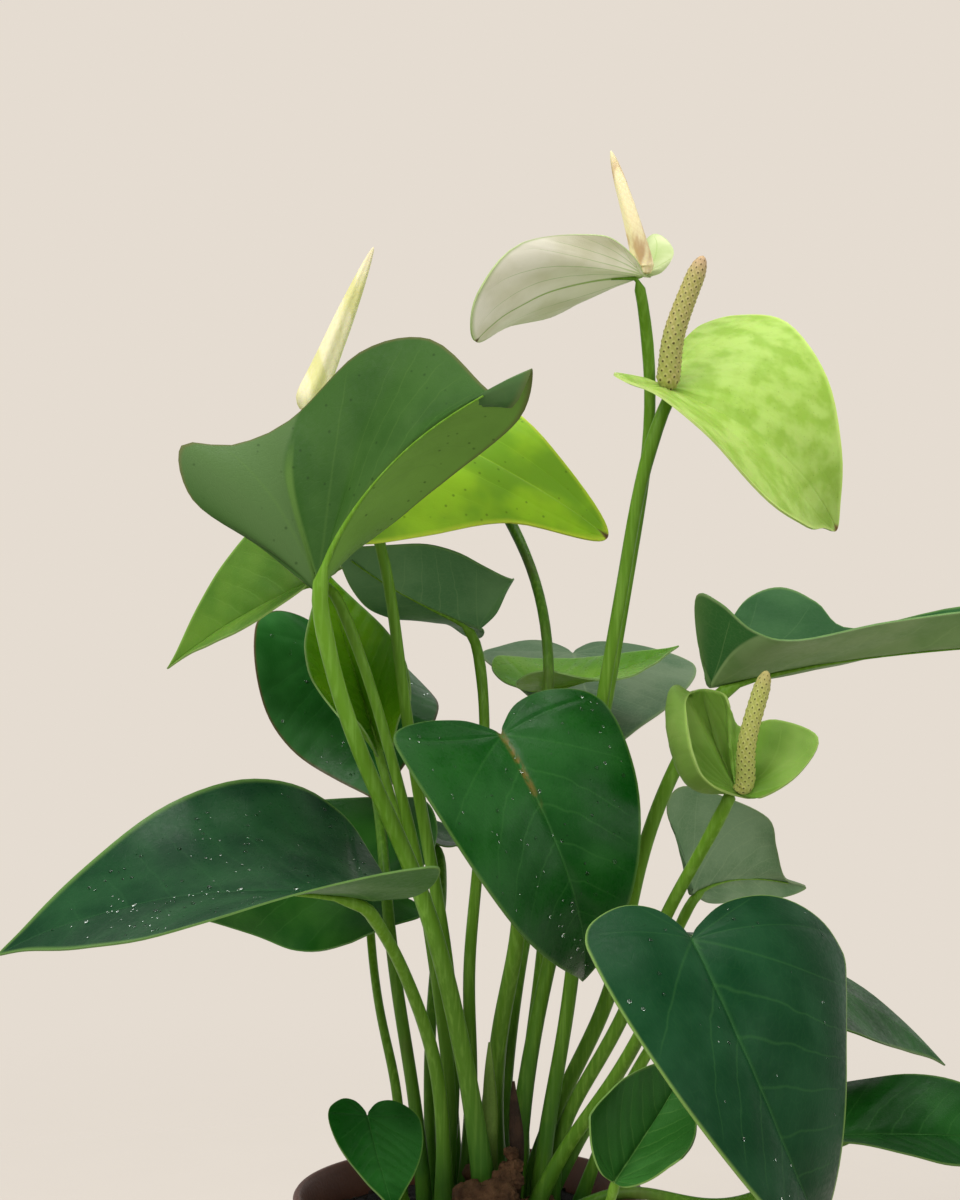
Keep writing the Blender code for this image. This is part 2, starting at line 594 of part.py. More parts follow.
def build_tube(name, route, radii, colour, end_normal=None, start_normal=None, sides=STALK_SIDES):
    """Round rod along a route, its ends cut square to the given directions."""
    mesh = bmesh.new()
    rings = []
    directions = [(route[min(i + 1, len(route) - 1)] - route[max(i - 1, 0)]).normalized()
                  for i in range(len(route))]
    if start_normal is not None:
        directions[0] = start_normal
    if end_normal is not None:
        directions[-1] = end_normal
    across = directions[0].orthogonal().normalized()
    for centre, direction, radius in zip(route, directions, radii):
        across = (across - direction * across.dot(direction)).normalized()
        level = direction.cross(across)
        angles = [math.tau * i / sides for i in range(sides)]
        rings.append([mesh.verts.new(centre + (across * math.cos(angle)
                                               + level * math.sin(angle)) * radius)
                      for angle in angles])
    for lower, higher in zip(rings, rings[1:]):
        for i in range(sides):
            j = (i + 1) % sides
            mesh.faces.new((lower[i], lower[j], higher[j], higher[i]))
    mesh.faces.new(rings[0])
    mesh.faces.new(rings[-1])
    return finish_piece(name, mesh, colour)


def stalk_radii(widths, count):
    """Radii from the swollen foot, along the slender middle, to the blade."""
    foot, middle, top = (width / 2 for width in widths)
    radii = []
    for i in range(count):
        share = i / (count - 1)
        swell = max(0.0, 1 - share / 0.22) ** 1.5
        slender = middle + (top - middle) * share
        radii.append(slender + (foot - slender) * swell)
    return radii


def stand_off(blade, direction, radius):
    """Distance from the joint at which a disc across the direction clears the blade."""
    joint = Vector(blade.at)
    furthest = 0.0
    for across, along in whole_outline():
        spoke = blade_point(blade, across * RING_SHARES[0], along * RING_SHARES[0]) - joint
        height = spoke.dot(direction)
        reach = (spoke - direction * height).length
        furthest = max(furthest, height * min(1.0, radius / reach))
    return furthest + 0.8 * BLADE_THICKNESS + GAP


def build_stalk(name, route, widths, blade, colour):
    """Stalk from its foot to the underside of a blade."""
    up = blade_normal(blade, 0, 0.004)
    joint = Vector(blade.at)
    top = joint - up * stand_off(blade, -up, widths[-1] / 2)
    approach = joint - up * STALK_APPROACH
    points = smooth_route((*route, approach, top), STALK_RINGS)
    radii = stalk_radii(widths, STALK_RINGS)
    return build_tube(name, points, radii, colour, end_normal=up,
                      start_normal=Vector((0, 0, 1)))


def build_spike(name, flower):
    """Spadix: a tapering rod with a rounded end that stands on the spathe."""
    count = 9
    up = blade_normal(flower.spathe, 0, 0.004)
    foot_radius, tip_radius = (width / 2 for width in flower.spike_widths)
    foot = Vector(flower.spathe.at) + up * stand_off(flower.spathe, up, SPIKE_NECK * foot_radius)
    points = smooth_route((foot, foot + up * 4, *flower.spike), count)
    radii = []
    for i in range(count):
        share = i / (count - 1)
        body = foot_radius + (tip_radius - foot_radius) * share
        rounding = math.sqrt(max(0.06, 1 - max(0.0, (share - 0.8) / 0.2) ** 2))
        radii.append(body * rounding)
    radii[0] = SPIKE_NECK * foot_radius
    return build_tube(name, points, radii, flower.spike_colour, start_normal=up, sides=8)


def spin_profile(profile, segments):
    """Closed turned solid from radius and height pairs that start and end on the axis."""
    mesh = bmesh.new()
    verts = [mesh.verts.new((radius, 0, height)) for radius, height in profile]
    edges = [mesh.edges.new(pair) for pair in zip(verts, verts[1:])]
    bmesh.ops.spin(mesh, geom=verts + edges, axis=(0, 0, 1), cent=(0, 0, 0),
                   angle=math.tau, steps=segments)
    bmesh.ops.remove_doubles(mesh, verts=mesh.verts, dist=0.01)
    return mesh


def pot_inner_radius(height):
    """Radius of the pot's inside at a height, in mm."""
    share = height / POT_HEIGHT
    body_radius = POT_RIM_RADIUS - POT_WALL - 2.5
    return POT_FOOT_RADIUS - POT_WALL + (body_radius - POT_FOOT_RADIUS + POT_WALL - 0.5) * share


def build_pot():
    """Tapered pot with a stepped rim and drainage holes in its floor."""
    shoulder = POT_HEIGHT - POT_RIM_DEPTH
    inner_foot = pot_inner_radius(POT_FLOOR)
    inner_shoulder = pot_inner_radius(shoulder)
    profile = (
        (0, 0), (POT_FOOT_RADIUS - 1.5, 0), (POT_FOOT_RADIUS, 1.5),
        (inner_shoulder + POT_WALL, shoulder), (POT_RIM_RADIUS - 1.2, shoulder + 0.8),
        (POT_RIM_RADIUS, POT_HEIGHT - 1.5), (POT_RIM_RADIUS - 1, POT_HEIGHT),
        (POT_RIM_RADIUS - POT_WALL - 0.4, POT_HEIGHT),
        (POT_RIM_RADIUS - POT_WALL - 1.6, POT_HEIGHT - 2), (inner_shoulder, shoulder),
        (inner_foot + 1.2, POT_FLOOR + 1.2), (inner_foot, POT_FLOOR), (0, POT_FLOOR),
    )
    pot = finish_piece("pot", spin_profile(profile, POT_SEGMENTS), (0.30, 0.10, 0.06), 0.45)
    for i in range(DRAIN_HOLES):
        angle = math.tau * i / DRAIN_HOLES
        bpy.ops.mesh.primitive_cylinder_add(
            vertices=12, radius=DRAIN_HOLE_RADIUS * MM, depth=4 * POT_FLOOR * MM,
            location=(DRAIN_CIRCLE_RADIUS * MM * math.cos(angle),
                      DRAIN_CIRCLE_RADIUS * MM * math.sin(angle), 0))
        cutter = bpy.context.object
        cutter.name = f"drain_cutter_{i + 1}"
        cutter.hide_render = True
        cutter.display_type = "WIRE"
        cut = pot.modifiers.new(f"drain_{i + 1}", "BOOLEAN")
        cut.operation = "DIFFERENCE"
        cut.solver = "EXACT"
        cut.object = cutter


def build_soil():
    """Root ball: fills the pot, with a level middle that the stalks stand on."""
    foot = pot_inner_radius(POT_FLOOR)
    edge_height = SOIL_TOP - SOIL_EDGE_DROP
    shoulder = POT_HEIGHT - POT_RIM_DEPTH
    profile = (
        (0, POT_FLOOR + GAP), (foot - 0.8, POT_FLOOR + GAP),
        (foot + 0.6, POT_FLOOR + 1.8),
        (pot_inner_radius(shoulder) - GAP - 0.2, shoulder),
        (pot_inner_radius(shoulder) - GAP - 0.2, edge_height),
        (SOIL_SHOULDER_RADIUS, SOIL_TOP), (0, SOIL_TOP),
    )
    finish_piece("soil", spin_profile(profile, POT_SEGMENTS), (0.02, 0.015, 0.012), 0.95)


def build_crown():
    """Short rough stump that the stalks crowd round."""
    x, y = CROWN_CENTRE
    route = [Vector((x, y, SOIL_TOP + GAP + CROWN_HEIGHT * i / 4)) for i in range(5)]
    radii = [CROWN_RADIUS * share for share in (1.0, 0.92, 1.0, 0.86, 0.6)]
    build_tube("crown", route, radii, (0.12, 0.06, 0.03), sides=8)


def build_sheath(name, route, widths, colour):
    """Thin old sheath that stands at the foot of a stalk."""
    points = smooth_route(rooted(route), 6)
    radii = [widths[0] / 2, widths[0] / 2, widths[1] / 2, widths[1] / 2, widths[1] / 2,
             widths[2] / 2]
    build_tube(f"sheath_{name}", points, radii, colour, start_normal=Vector((0, 0, 1)))


def build_leaf(leaf):
    """Blade and stalk of one leaf."""
    build_blade(f"leaf_{leaf.name}_blade", leaf.blade, leaf.colour)
    build_stalk(f"leaf_{leaf.name}_stalk", rooted(leaf.route), leaf.widths, leaf.blade,
                STALK_GREEN)


def build_flower(flower):
    """Spathe, spike and stalk of one flower."""
    build_blade(f"flower_{flower.name}_spathe", flower.spathe, flower.colour)
    build_spike(f"flower_{flower.name}_spike", flower)
    build_stalk(f"flower_{flower.name}_stalk", rooted(flower.route), flower.widths,
                flower.spathe, STALK_GREEN)


def rooted(route):
    """A route whose first point, given across and deep, stands just above the soil."""
    (x, y), *others = route
    return (x, y, SOIL_TOP + GAP), *others


def main():
    """Clear the scene and build the plant from the pot up."""
    for thing in list(bpy.data.objects):
        bpy.data.objects.remove(thing)
    build_pot()
    build_soil()
    build_crown()
    for leaf in LEAVES:
        build_leaf(leaf)
    for flower in FLOWERS:
        build_flower(flower)
    for sheath in SHEATHS:
        build_sheath(*sheath)


main()
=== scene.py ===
"""Looks of a potted anthurium: leaves, flowers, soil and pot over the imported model.

Lengths are in millimetres and angles in degrees until a mesh is written. X runs to
the right, Y to the back and Z up, from the centre of the pot's underside. A place on
a flat blade is (across, along) in blade lengths from the joint with its stalk, the
tip at (0, 1). Each piece keeps that place in its "flat" attribute for its veins.
"""
import logging
import math
import random
from bisect import bisect_left
from dataclasses import dataclass, replace
from enum import Enum
from functools import cached_property, lru_cache
from typing import Callable, Optional, Sequence, Union

import bpy
from mathutils import Euler, Matrix, Vector, noise


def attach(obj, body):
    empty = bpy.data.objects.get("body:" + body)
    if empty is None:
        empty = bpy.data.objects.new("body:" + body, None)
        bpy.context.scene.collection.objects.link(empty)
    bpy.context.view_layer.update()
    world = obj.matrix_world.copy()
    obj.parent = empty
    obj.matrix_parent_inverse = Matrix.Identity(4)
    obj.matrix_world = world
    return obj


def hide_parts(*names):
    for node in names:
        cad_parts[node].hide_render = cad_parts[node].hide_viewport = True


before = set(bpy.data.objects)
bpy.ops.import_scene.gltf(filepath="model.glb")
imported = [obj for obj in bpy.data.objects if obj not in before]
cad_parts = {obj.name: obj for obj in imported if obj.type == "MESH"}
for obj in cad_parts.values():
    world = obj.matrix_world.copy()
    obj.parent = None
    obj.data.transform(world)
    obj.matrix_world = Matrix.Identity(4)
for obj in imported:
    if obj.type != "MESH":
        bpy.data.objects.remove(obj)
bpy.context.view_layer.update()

MM = 0.001
Colour = tuple[float, float, float]
Point = tuple[float, float, float]
Place = tuple[float, float]
Route = tuple[Union[Place, Point], ...]

log = logging.getLogger("anthurium")

# Right half of a flat blade, from the tip to the notch.
HEART_OUTLINE: tuple[Place, ...] = (
    (0.0, 1.0), (0.045, 0.90), (0.15, 0.74), (0.30, 0.52), (0.42, 0.28), (0.47, 0.04),
    (0.42, -0.17), (0.27, -0.28), (0.12, -0.24), (0.03, -0.10), (0.0, -0.02),
)
OUTLINE_HALF_WIDTH = 0.47
LOBE_REACH = 0.28
# Side veins leave the midrib one spacing apart, leaning and bowing to the tip. The
# veins of the lobes are set by their angles at the joint, in degrees, and a spathe's
# long veins by theirs in radians.
VEIN_SPACING = 0.125
VEIN_LEAN = 0.55
VEIN_BOW = 1.1
VEIN_CROWDING = 0.75
FIRST_LOBE_VEIN = 60
LOBE_VEIN_STEP = 42
LOBE_VEIN_SPREAD = 0.73
LONG_VEIN_STEP = 0.33
SPAN_STEPS = 24
UPWARDS = Vector((0, 0, 1))


# --- Shapes -----------------------------------------------------------------------


def arc(distance: float, turn: float) -> Place:
    """Forward and upward reach after a distance on an arc that turns so much per unit."""
    if abs(turn) < 1e-6:
        return distance, 0.0
    return math.sin(turn * distance) / turn, (1.0 - math.cos(turn * distance)) / turn


def catmull(before: Vector, start: Vector, end: Vector, after: Vector,
            share: float) -> Vector:
    """Point on the smooth curve from start to end."""
    return 0.5 * (2 * start + (end - before) * share
                  + (2 * before - 5 * start + 4 * end - after) * share ** 2
                  + (3 * start - 3 * end + after - before) * share ** 3)


def smooth_line(points: Sequence[Point], per_span: int) -> list[Vector]:
    """Points on a smooth curve through the given ones.

    Args:
        points: the points to pass through, in order.
        per_span: how many steps each span is cut into.

    Returns:
        The curve's points, both ends included.
    """
    knots = [Vector(point) for point in points]
    knots = [2 * knots[0] - knots[1], *knots, 2 * knots[-1] - knots[-2]]
    line = [catmull(*around, step / per_span)
            for around in zip(knots, knots[1:], knots[2:], knots[3:])
            for step in range(per_span)]
    return [*line, knots[-2]]


def even_steps(line: Sequence[Vector], count: int) -> list[Vector]:
    """The same line with so many evenly spaced points."""
    lengths = [0.0]
    for start, end in zip(line, line[1:]):
        lengths.append(lengths[-1] + (end - start).length)
    steps, place = [], 0
    for i in range(count):
        target = lengths[-1] * i / (count - 1)
        while place < len(line) - 2 and lengths[place + 1] < target:
            place += 1
        span = max(lengths[place + 1] - lengths[place], 1e-9)
        steps.append(line[place].lerp(line[place + 1], (target - lengths[place]) / span))
    return steps


def relaxed(line: Sequence[Vector], rounds: int) -> list[Vector]:
    """The same line with its small bends smoothed away, its ends held."""
    points = list(line)
    for _ in range(rounds):
        points = [points[0], *((before + 2 * point + after) / 4 for before, point, after
                               in zip(points, points[1:], points[2:])), points[-1]]
    return points


def half_outline(per_span: int) -> list[Place]:
    """Smoothed right half of the heart outline, from the tip to the notch."""
    flat = [(across, along, 0.0) for across, along in HEART_OUTLINE]
    return [(max(point.x, 0.0), point.y) for point in smooth_line(flat, per_span)]


@lru_cache(maxsize=None)
def measured_outline() -> tuple[list[Place], list[float]]:
    """Right half of the smoothed outline, and the direction of each of its points."""
    points = half_outline(6)
    return points, [math.atan2(across, along) for across, along in points]


def outline_radius(angle: float) -> float:
    """Distance from the joint to the outline in a direction, in blade lengths."""
    angle = abs(angle)
    points, angles = measured_outline()
    end = min(max(bisect_left(angles, angle - 1e-9), 1), len(points) - 1)
    (x1, y1), (x2, y2) = points[end - 1], points[end]
    start_gap = x1 * math.cos(angle) - y1 * math.sin(angle)
    end_gap = x2 * math.cos(angle) - y2 * math.sin(angle)
    share = start_gap / (start_gap - end_gap) if abs(start_gap - end_gap) > 1e-9 else 0.0
    share = min(max(share, 0.0), 1.0)
    return math.hypot(x1 + (x2 - x1) * share, y1 + (y2 - y1) * share)


def vein_distance(across: float, along: float) -> float:
    """Distance in blade lengths from a place on the blade to its nearest side vein."""
    side = abs(across)
    start = along - VEIN_LEAN * side - VEIN_BOW * side ** 2
    if start > 0.02:
        wave = start / VEIN_SPACING
        return abs(wave - round(wave)) * VEIN_SPACING * VEIN_CROWDING
    wave = (math.degrees(math.atan2(side, along)) - FIRST_LOBE_VEIN) / LOBE_VEIN_STEP
    return abs(wave - round(wave)) * LOBE_VEIN_SPREAD * math.hypot(across, along)


class Surface:
    """A blade's curved surface."""

    at: Point

    def point(self, across: float, along: float) -> Vector:
        """Point of the surface, in mm, for a place on the flat blade."""
        raise NotImplementedError

    def normal(self, across: float, along: float, step: float = 0.004) -> Vector:
        """Direction of the upper side at a place on the flat blade."""
        right = self.point(across + step, along) - self.point(across - step, along)
        ahead = self.point(across, along + step) - self.point(across, along - step)
        return right.cross(ahead).normalized()


@dataclass
class Bent(Surface):
    """A blade that one set of bends describes.

    It points by heading and elevation and is turned by roll. The midrib droops to
    the tip and the lobes lift. Each half (left, right) folds up from the midrib and
    curls to its margin, and three slow waves (height, phase) ruffle the margin.
    """

    at: Point
    heading: float
    elevation: float
    roll: float
    length: float
    width: float
    droop: float
    lift: float
    fold: tuple[float, float]
    curl: tuple[float, float]
    twist: float = 0.0
    lobe: float = 1.0
    uneven: float = 1.0
    opening: float = 0.0
    ruffle: tuple[float, float] = (0.0, 0.0)

    @cached_property
    def axes(self) -> tuple[Vector, Vector, Vector]:
        """Directions at the joint: along, right and up."""
        heading, elevation, roll = (math.radians(angle) for angle in
                                    (self.heading, self.elevation, self.roll))
        along = Vector((math.cos(elevation) * math.cos(heading),
                        math.cos(elevation) * math.sin(heading), math.sin(elevation)))
        level_right = along.cross(UPWARDS).normalized()
        level_up = level_right.cross(along)
        return (along, level_right * math.cos(roll) + level_up * math.sin(roll),
                level_up * math.cos(roll) - level_right * math.sin(roll))

    def point(self, across: float, along: float) -> Vector:
        """Point of the surface, in mm, for a place on the flat blade."""
        right_half = across >= 0
        stretch = self.uneven if right_half else 1.0 / self.uneven
        reach = along if along >= 0 else along * self.lobe
        forward_axis, right_axis, up_axis = self.axes
        turn = (-math.radians(self.droop) if reach >= 0
                else math.radians(self.lift) / LOBE_REACH)
        slope = turn * reach
        forward, rise = arc(reach, turn)

        fold = math.radians(self.fold[right_half])
        fold *= 1.0 - self.opening * min(max(reach, -0.3), 1.0)
        out, up = arc(abs(across) * self.width / OUTLINE_HALF_WIDTH * stretch,
                      math.radians(self.curl[right_half]) / self.width)
        sideways = out * math.cos(fold) - up * math.sin(fold)
        upward = out * math.sin(fold) + up * math.cos(fold)
        sideways = sideways if right_half else -sideways

        height, phase = self.ruffle
        waves = 3 * math.atan2(across, along) + math.radians(phase)
        upward += height / 100 * math.sin(waves) * (across ** 2 + along ** 2) / 0.25

        twist = math.radians(self.twist) * reach
        turned = sideways * math.cos(twist) - upward * math.sin(twist)
        upward = sideways * math.sin(twist) + upward * math.cos(twist)
        up_here = up_axis * math.cos(slope) - forward_axis * math.sin(slope)
        offset = (forward_axis * forward + up_axis * rise + right_axis * turned
                  + up_here * upward)
        return Vector(self.at) + offset * self.length


@dataclass
class Shaped(Surface):
    """A blade too wavy for one bend: each spoke of its outline is given one by one.

    A spoke is its place on the outline, then two points of the surface: half way out
    from the joint and on the margin. Spokes run once round, from the tip by the right.
    """

    at: Point
    spokes: tuple[tuple[Place, Point, Point], ...]

    @cached_property
    def angles(self) -> list[float]:
        """Directions of the spokes on the flat blade."""
        return [math.atan2(*spot) % math.tau for spot, _, _ in self.spokes]

    def point(self, across: float, along: float) -> Vector:
        """Point of the surface, in mm, for a place on the flat blade."""
        joint = Vector(self.at)
        if math.hypot(across, along) < 1e-6:
            return joint
        angle = math.atan2(across, along)
        turn = angle % math.tau
        count = len(self.angles)
        place = max(i for i in range(count) if self.angles[i] <= turn + 1e-9)
        end = self.angles[place + 1] if place + 1 < count else math.tau
        share = (turn - self.angles[place]) / (end - self.angles[place])
        around = [self.spokes[(place + step) % count] for step in (-1, 0, 1, 2)]
        half_way = catmull(*(Vector(spoke[1]) for spoke in around), share)
        margin = catmull(*(Vector(spoke[2]) for spoke in around), share)
        reach = min(math.hypot(across, along) / outline_radius(angle), 1.0)
        control = 2 * half_way - 0.5 * (joint + margin)
        return (joint * (1 - reach) ** 2 + control * 2 * reach * (1 - reach)
                + margin * reach ** 2)


# --- Modelling --------------------------------------------------------------------


def deselect_all() -> None:
    """Leave object mode with nothing selected."""
    if bpy.context.object and bpy.context.object.mode != "OBJECT":
        bpy.ops.object.mode_set(mode="OBJECT")
    bpy.ops.object.select_all(action="DESELECT")


def select_only(piece: bpy.types.Object) -> None:
    """Make one piece the only selected and the active one."""
    deselect_all()
    piece.select_set(True)
    bpy.context.view_layer.objects.active = piece


def new_piece(name: str) -> bpy.types.Object:
    """Name the primitive that was just added."""
    piece = bpy.context.object
    piece.name = name
    piece.data.name = name
    return piece


def merge_doubles(piece: bpy.types.Object, distance: float = 1e-6) -> None:
    """Merge the points of a mesh that lie on each other."""
    select_only(piece)
    bpy.ops.object.mode_set(mode="EDIT")
    bpy.ops.mesh.select_all(action="SELECT")
    bpy.ops.mesh.remove_doubles(threshold=distance)
    bpy.ops.object.mode_set(mode="OBJECT")


def apply_modifiers(piece: bpy.types.Object) -> None:
    """Apply every modifier of a piece, first to last."""
    select_only(piece)
    for modifier in list(piece.modifiers):
        bpy.ops.object.modifier_apply(modifier=modifier.name)


def copy_to(model: bpy.types.Object, moves: Sequence[Matrix]) -> bpy.types.Object:
    """Copy a small piece to many places and join the copies.

    Args:
        model: the piece to copy, which is removed.
        moves: where each copy goes, as a matrix in metres.

    Returns:
        The joined copies, under the model's name.
    """
    name = model.name
    copies = []
    for move in moves:
        twin = bpy.data.objects.new(name, model.data.copy())
        twin.data.transform(move)
        bpy.context.collection.objects.link(twin)
        copies.append(twin)
    bpy.data.objects.remove(model)
    deselect_all()
    for twin in copies:
        twin.select_set(True)
    bpy.context.view_layer.objects.active = copies[0]
    bpy.ops.object.join()
    return new_piece(name)


def shade(piece: bpy.types.Object, sharp_angle: float = 50.0) -> None:
    """Shade a piece smooth, except across edges sharper than an angle."""
    select_only(piece)
    bpy.ops.object.shade_smooth_by_angle(angle=math.radians(sharp_angle))


def write_attribute(piece: bpy.types.Object, name: str, values: Sequence[Vector]) -> None:
    """Store one vector for each point of a mesh."""
    layer = piece.data.attributes.new(name, "FLOAT_VECTOR", "POINT")
    layer.data.foreach_set("vector", [number for value in values for number in value])


def dress(piece: bpy.types.Object, finishes: Sequence[bpy.types.Material], slot: str,
          *nodes: str) -> bpy.types.Object:
    """Give a finished piece its materials and its place in the frame.

    Args:
        piece: the finished object.
        finishes: its materials, in slot order.
        slot: not used.
        nodes: the CAD nodes that it stands for.

    Returns:
        The same object.
    """
    kept = [polygon.material_index for polygon in piece.data.polygons]
    piece.data.materials.clear()
    for finish in finishes:
        piece.data.materials.append(finish)
    piece.data.polygons.foreach_set("material_index", kept)
    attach(piece, "root")
    if nodes:
        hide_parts(*nodes)
    log.info("%s: %d faces", piece.name, len(piece.data.polygons))
    return piece


def fan(name: str, surface: Surface, rings: int, per_span: int,
        relief: Callable[[float, float], float]) -> bpy.types.Object:
    """Open sheet in the shape of a blade, its faces turned to the upper side.

    Args:
        name: the piece's name.
        surface: the blade's surface.
        rings: rings of faces from the joint to the margin.
        per_span: faces along each listed span of the outline.
        relief: how far the surface stands out at a place on the flat blade, in mm.

    Returns:
        The sheet, with its flat places and reach in its "flat" attribute.
    """
    half = half_outline(per_span)
    outline = half[::-1] + [(-across, along) for across, along in half[1:]]
    spokes = len(outline) - 1
    deselect_all()
    bpy.ops.mesh.primitive_grid_add(x_subdivisions=spokes, y_subdivisions=rings, size=2)
    piece = new_piece(name)
    flat = []
    for vertex in piece.data.vertices:
        across, along = outline[round((vertex.co.x + 1) / 2 * spokes)]
        reach = (vertex.co.y + 1) / 2
        flat.append(Vector((across * reach, along * reach, reach)))
        vertex.co = surface.point(across * reach, along * reach) * MM
    write_attribute(piece, "flat", flat)
    merge_doubles(piece)
    upper = surface.normal(0.1, 0.3)
    middle = min(piece.data.polygons,
                 key=lambda face: (face.center - surface.point(0.1, 0.3) * MM).length)
    if middle.normal.dot(upper) < 0:
        bpy.ops.object.mode_set(mode="EDIT")
        bpy.ops.mesh.select_all(action="SELECT")
        bpy.ops.mesh.flip_normals()
        bpy.ops.object.mode_set(mode="OBJECT")
    places = piece.data.attributes["flat"].data
    raised = [vertex.co + vertex.normal * (relief(*places[vertex.index].vector[:2]) * MM)
              for vertex in piece.data.vertices]
    for vertex, co in zip(piece.data.vertices, raised):
        vertex.co = co
    return piece


def rod(name: str, route: Sequence[Vector], radius: Callable[[float, float], float],
        sides: int, start: Optional[Vector] = None) -> bpy.types.Object:
    """Closed round rod along a route.

    Args:
        name: the piece's name.
        route: evenly spaced points of its middle line, in mm.
        radius: its radius in mm for a share of its length and an angle round it.
        sides: faces round it.
        start: direction of its first end; by default, that of the route.

    Returns:
        The rod, with share, angle and zero in its "flat" attribute.
    """
    rings = len(route)
    directions = [(route[min(i + 1, rings - 1)] - route[max(i - 1, 0)]).normalized()
                  for i in range(rings)]
    if start is not None:
        directions[0] = start
    frames = []
    across = directions[0].orthogonal().normalized()
    for direction in directions:
        across = (across - direction * across.dot(direction)).normalized()
        frames.append((across, direction.cross(across)))
    deselect_all()
    bpy.ops.mesh.primitive_uv_sphere_add(segments=sides, ring_count=rings + 1, radius=1)
    piece = new_piece(name)
    flat = []
    for vertex in piece.data.vertices:
        latitude = math.acos(max(-1.0, min(1.0, -vertex.co.z))) / math.pi
        ring = round(latitude * (rings + 1)) - 1
        place = min(max(ring, 0), rings - 1)
        share = place / (rings - 1)
        angle = math.atan2(vertex.co.y, vertex.co.x)
        centre = route[place]
        if 0 <= ring <= rings - 1:
            size = radius(share, angle)
            right, level = frames[place]
            centre = centre + (right * math.cos(angle) + level * math.sin(angle)) * size
        flat.append(Vector((share, angle / math.tau, 0.0)))
        vertex.co = centre * MM
    write_attribute(piece, "flat", flat)
    return piece


# --- Finishes ---------------------------------------------------------------------

Socket = bpy.types.NodeSocket
Value = Union[float, Socket]
Tint = Union[Colour, Socket]


class Graph:
    """Adds nodes to a material's or a group's tree and links them."""

    def __init__(self, tree: bpy.types.NodeTree) -> None:
        """Work on one tree."""
        self.tree = tree

    def feed(self, target: Socket, value: Union[Value, Tint, Vector]) -> None:
        """Link a socket to an input, or set the input's own value."""
        if isinstance(value, bpy.types.NodeSocket):
            self.tree.links.new(value, target)
        elif target.type == "RGBA":
            target.default_value = (*value, 1.0)
        else:
            target.default_value = value

    def fill(self, node: bpy.types.Node, **inputs: Union[Value, Tint]) -> bpy.types.Node:
        """Link or set a node's inputs by name, with underscores for spaces."""
        for name, value in inputs.items():
            self.feed(node.inputs[name.replace("_", " ")], value)
        return node

    def bump(self, height: Socket, strength: float, distance: float) -> Socket:
        """Normals that a height raises."""
        node = self.add("Bump", Height=height, Strength=strength, Distance=distance)
        return node.outputs["Normal"]

    def add(self, kind: str, settings: Optional[dict] = None,
            **inputs: Union[Value, Tint]) -> bpy.types.Node:
        """Add a node.

        Args:
            kind: the node's type, without its ShaderNode prefix.
            settings: the node's own settings.
            inputs: its inputs by name, with underscores for spaces.

        Returns:
            The node.
        """
        node = self.tree.nodes.new("ShaderNode" + kind)
        for name, value in (settings or {}).items():
            setattr(node, name, value)
        return self.fill(node, **inputs)

    def math(self, operation: str, *terms: Value) -> Socket:
        """Result of a Math node."""
        node = self.add("Math", {"operation": operation})
        for target, term in zip(node.inputs, terms):
            self.feed(target, term)
        return node.outputs[0]

    def plus(self, first: Value, second: Value) -> Socket:
        """Sum of two values."""
        return self.math("ADD", first, second)

    def minus(self, first: Value, second: Value) -> Socket:
        """First value less the second."""
        return self.math("SUBTRACT", first, second)

    def times(self, first: Value, second: Value) -> Socket:
        """Product of two values."""
        return self.math("MULTIPLY", first, second)

    def spread(self, value: Value, low: Value, high: Value, start: Value = 0.0,
               end: Value = 1.0) -> Socket:
        """Smooth step of a value from start at low to end at high."""
        node = self.add("MapRange", {"interpolation_type": "SMOOTHSTEP"}, Value=value,
                        From_Min=low, From_Max=high, To_Min=start, To_Max=end)
        return node.outputs["Result"]

    def mix(self, share: Value, first: Tint, second: Tint) -> Socket:
        """Blend of two colours."""
        node = self.add("Mix", {"data_type": "RGBA"})
        self.feed(node.inputs[0], share)
        self.feed(node.inputs[6], first)
        self.feed(node.inputs[7], second)
        return node.outputs[2]

    def cloud(self, where: Socket, scale: float, detail: float = 3.0) -> Socket:
        """Soft noise from 0 to 1."""
        node = self.add("TexNoise", Vector=where, Scale=scale, Detail=detail,
                        Roughness=0.55)
        return node.outputs["Fac"]

    def flat(self) -> Socket:
        """The piece's own "flat" attribute."""
        return self.add("Attribute", {"attribute_name": "flat"}).outputs["Vector"]

    def place(self, stretch: Point = (1.0, 1.0, 1.0)) -> Socket:
        """Object coordinates, scaled along each axis."""
        where = self.add("TexCoord").outputs["Object"]
        return self.add("Mapping", Vector=where, Scale=stretch).outputs["Vector"]

    def group(self, tree: bpy.types.NodeTree, **inputs: Value) -> bpy.types.Node:
        """Place a node group with its own values."""
        node = self.tree.nodes.new("ShaderNodeGroup")
        node.node_tree = tree
        return self.fill(node, **inputs)


def new_group(name: str, inputs: dict[str, tuple[str, float]],
              outputs: Sequence[str]) -> tuple[bpy.types.NodeTree, Graph, bpy.types.Node]:
    """Start a shader node group.

    Args:
        name: the group's name.
        inputs: the kind of each input, Vector or Float, and its usual value.
        outputs: names of its outputs, all numbers.

    Returns:
        The group, a graph that fills it and its input node.
    """
    tree = bpy.data.node_groups.new(name, "ShaderNodeTree")
    for title, (kind, usual) in inputs.items():
        socket = tree.interface.new_socket(title, in_out="INPUT",
                                           socket_type="NodeSocket" + kind)
        if kind == "Float":
            socket.default_value = usual
    for title in outputs:
        tree.interface.new_socket(title, in_out="OUTPUT", socket_type="NodeSocketFloat")
    return tree, Graph(tree), tree.nodes.new("NodeGroupInput")


def close_group(graph: Graph, **outputs: Socket) -> None:
    """Link a group's results to its outputs."""
    node = graph.tree.nodes.new("NodeGroupOutput")
    for name, socket in outputs.items():
        graph.tree.links.new(socket, node.inputs[name])


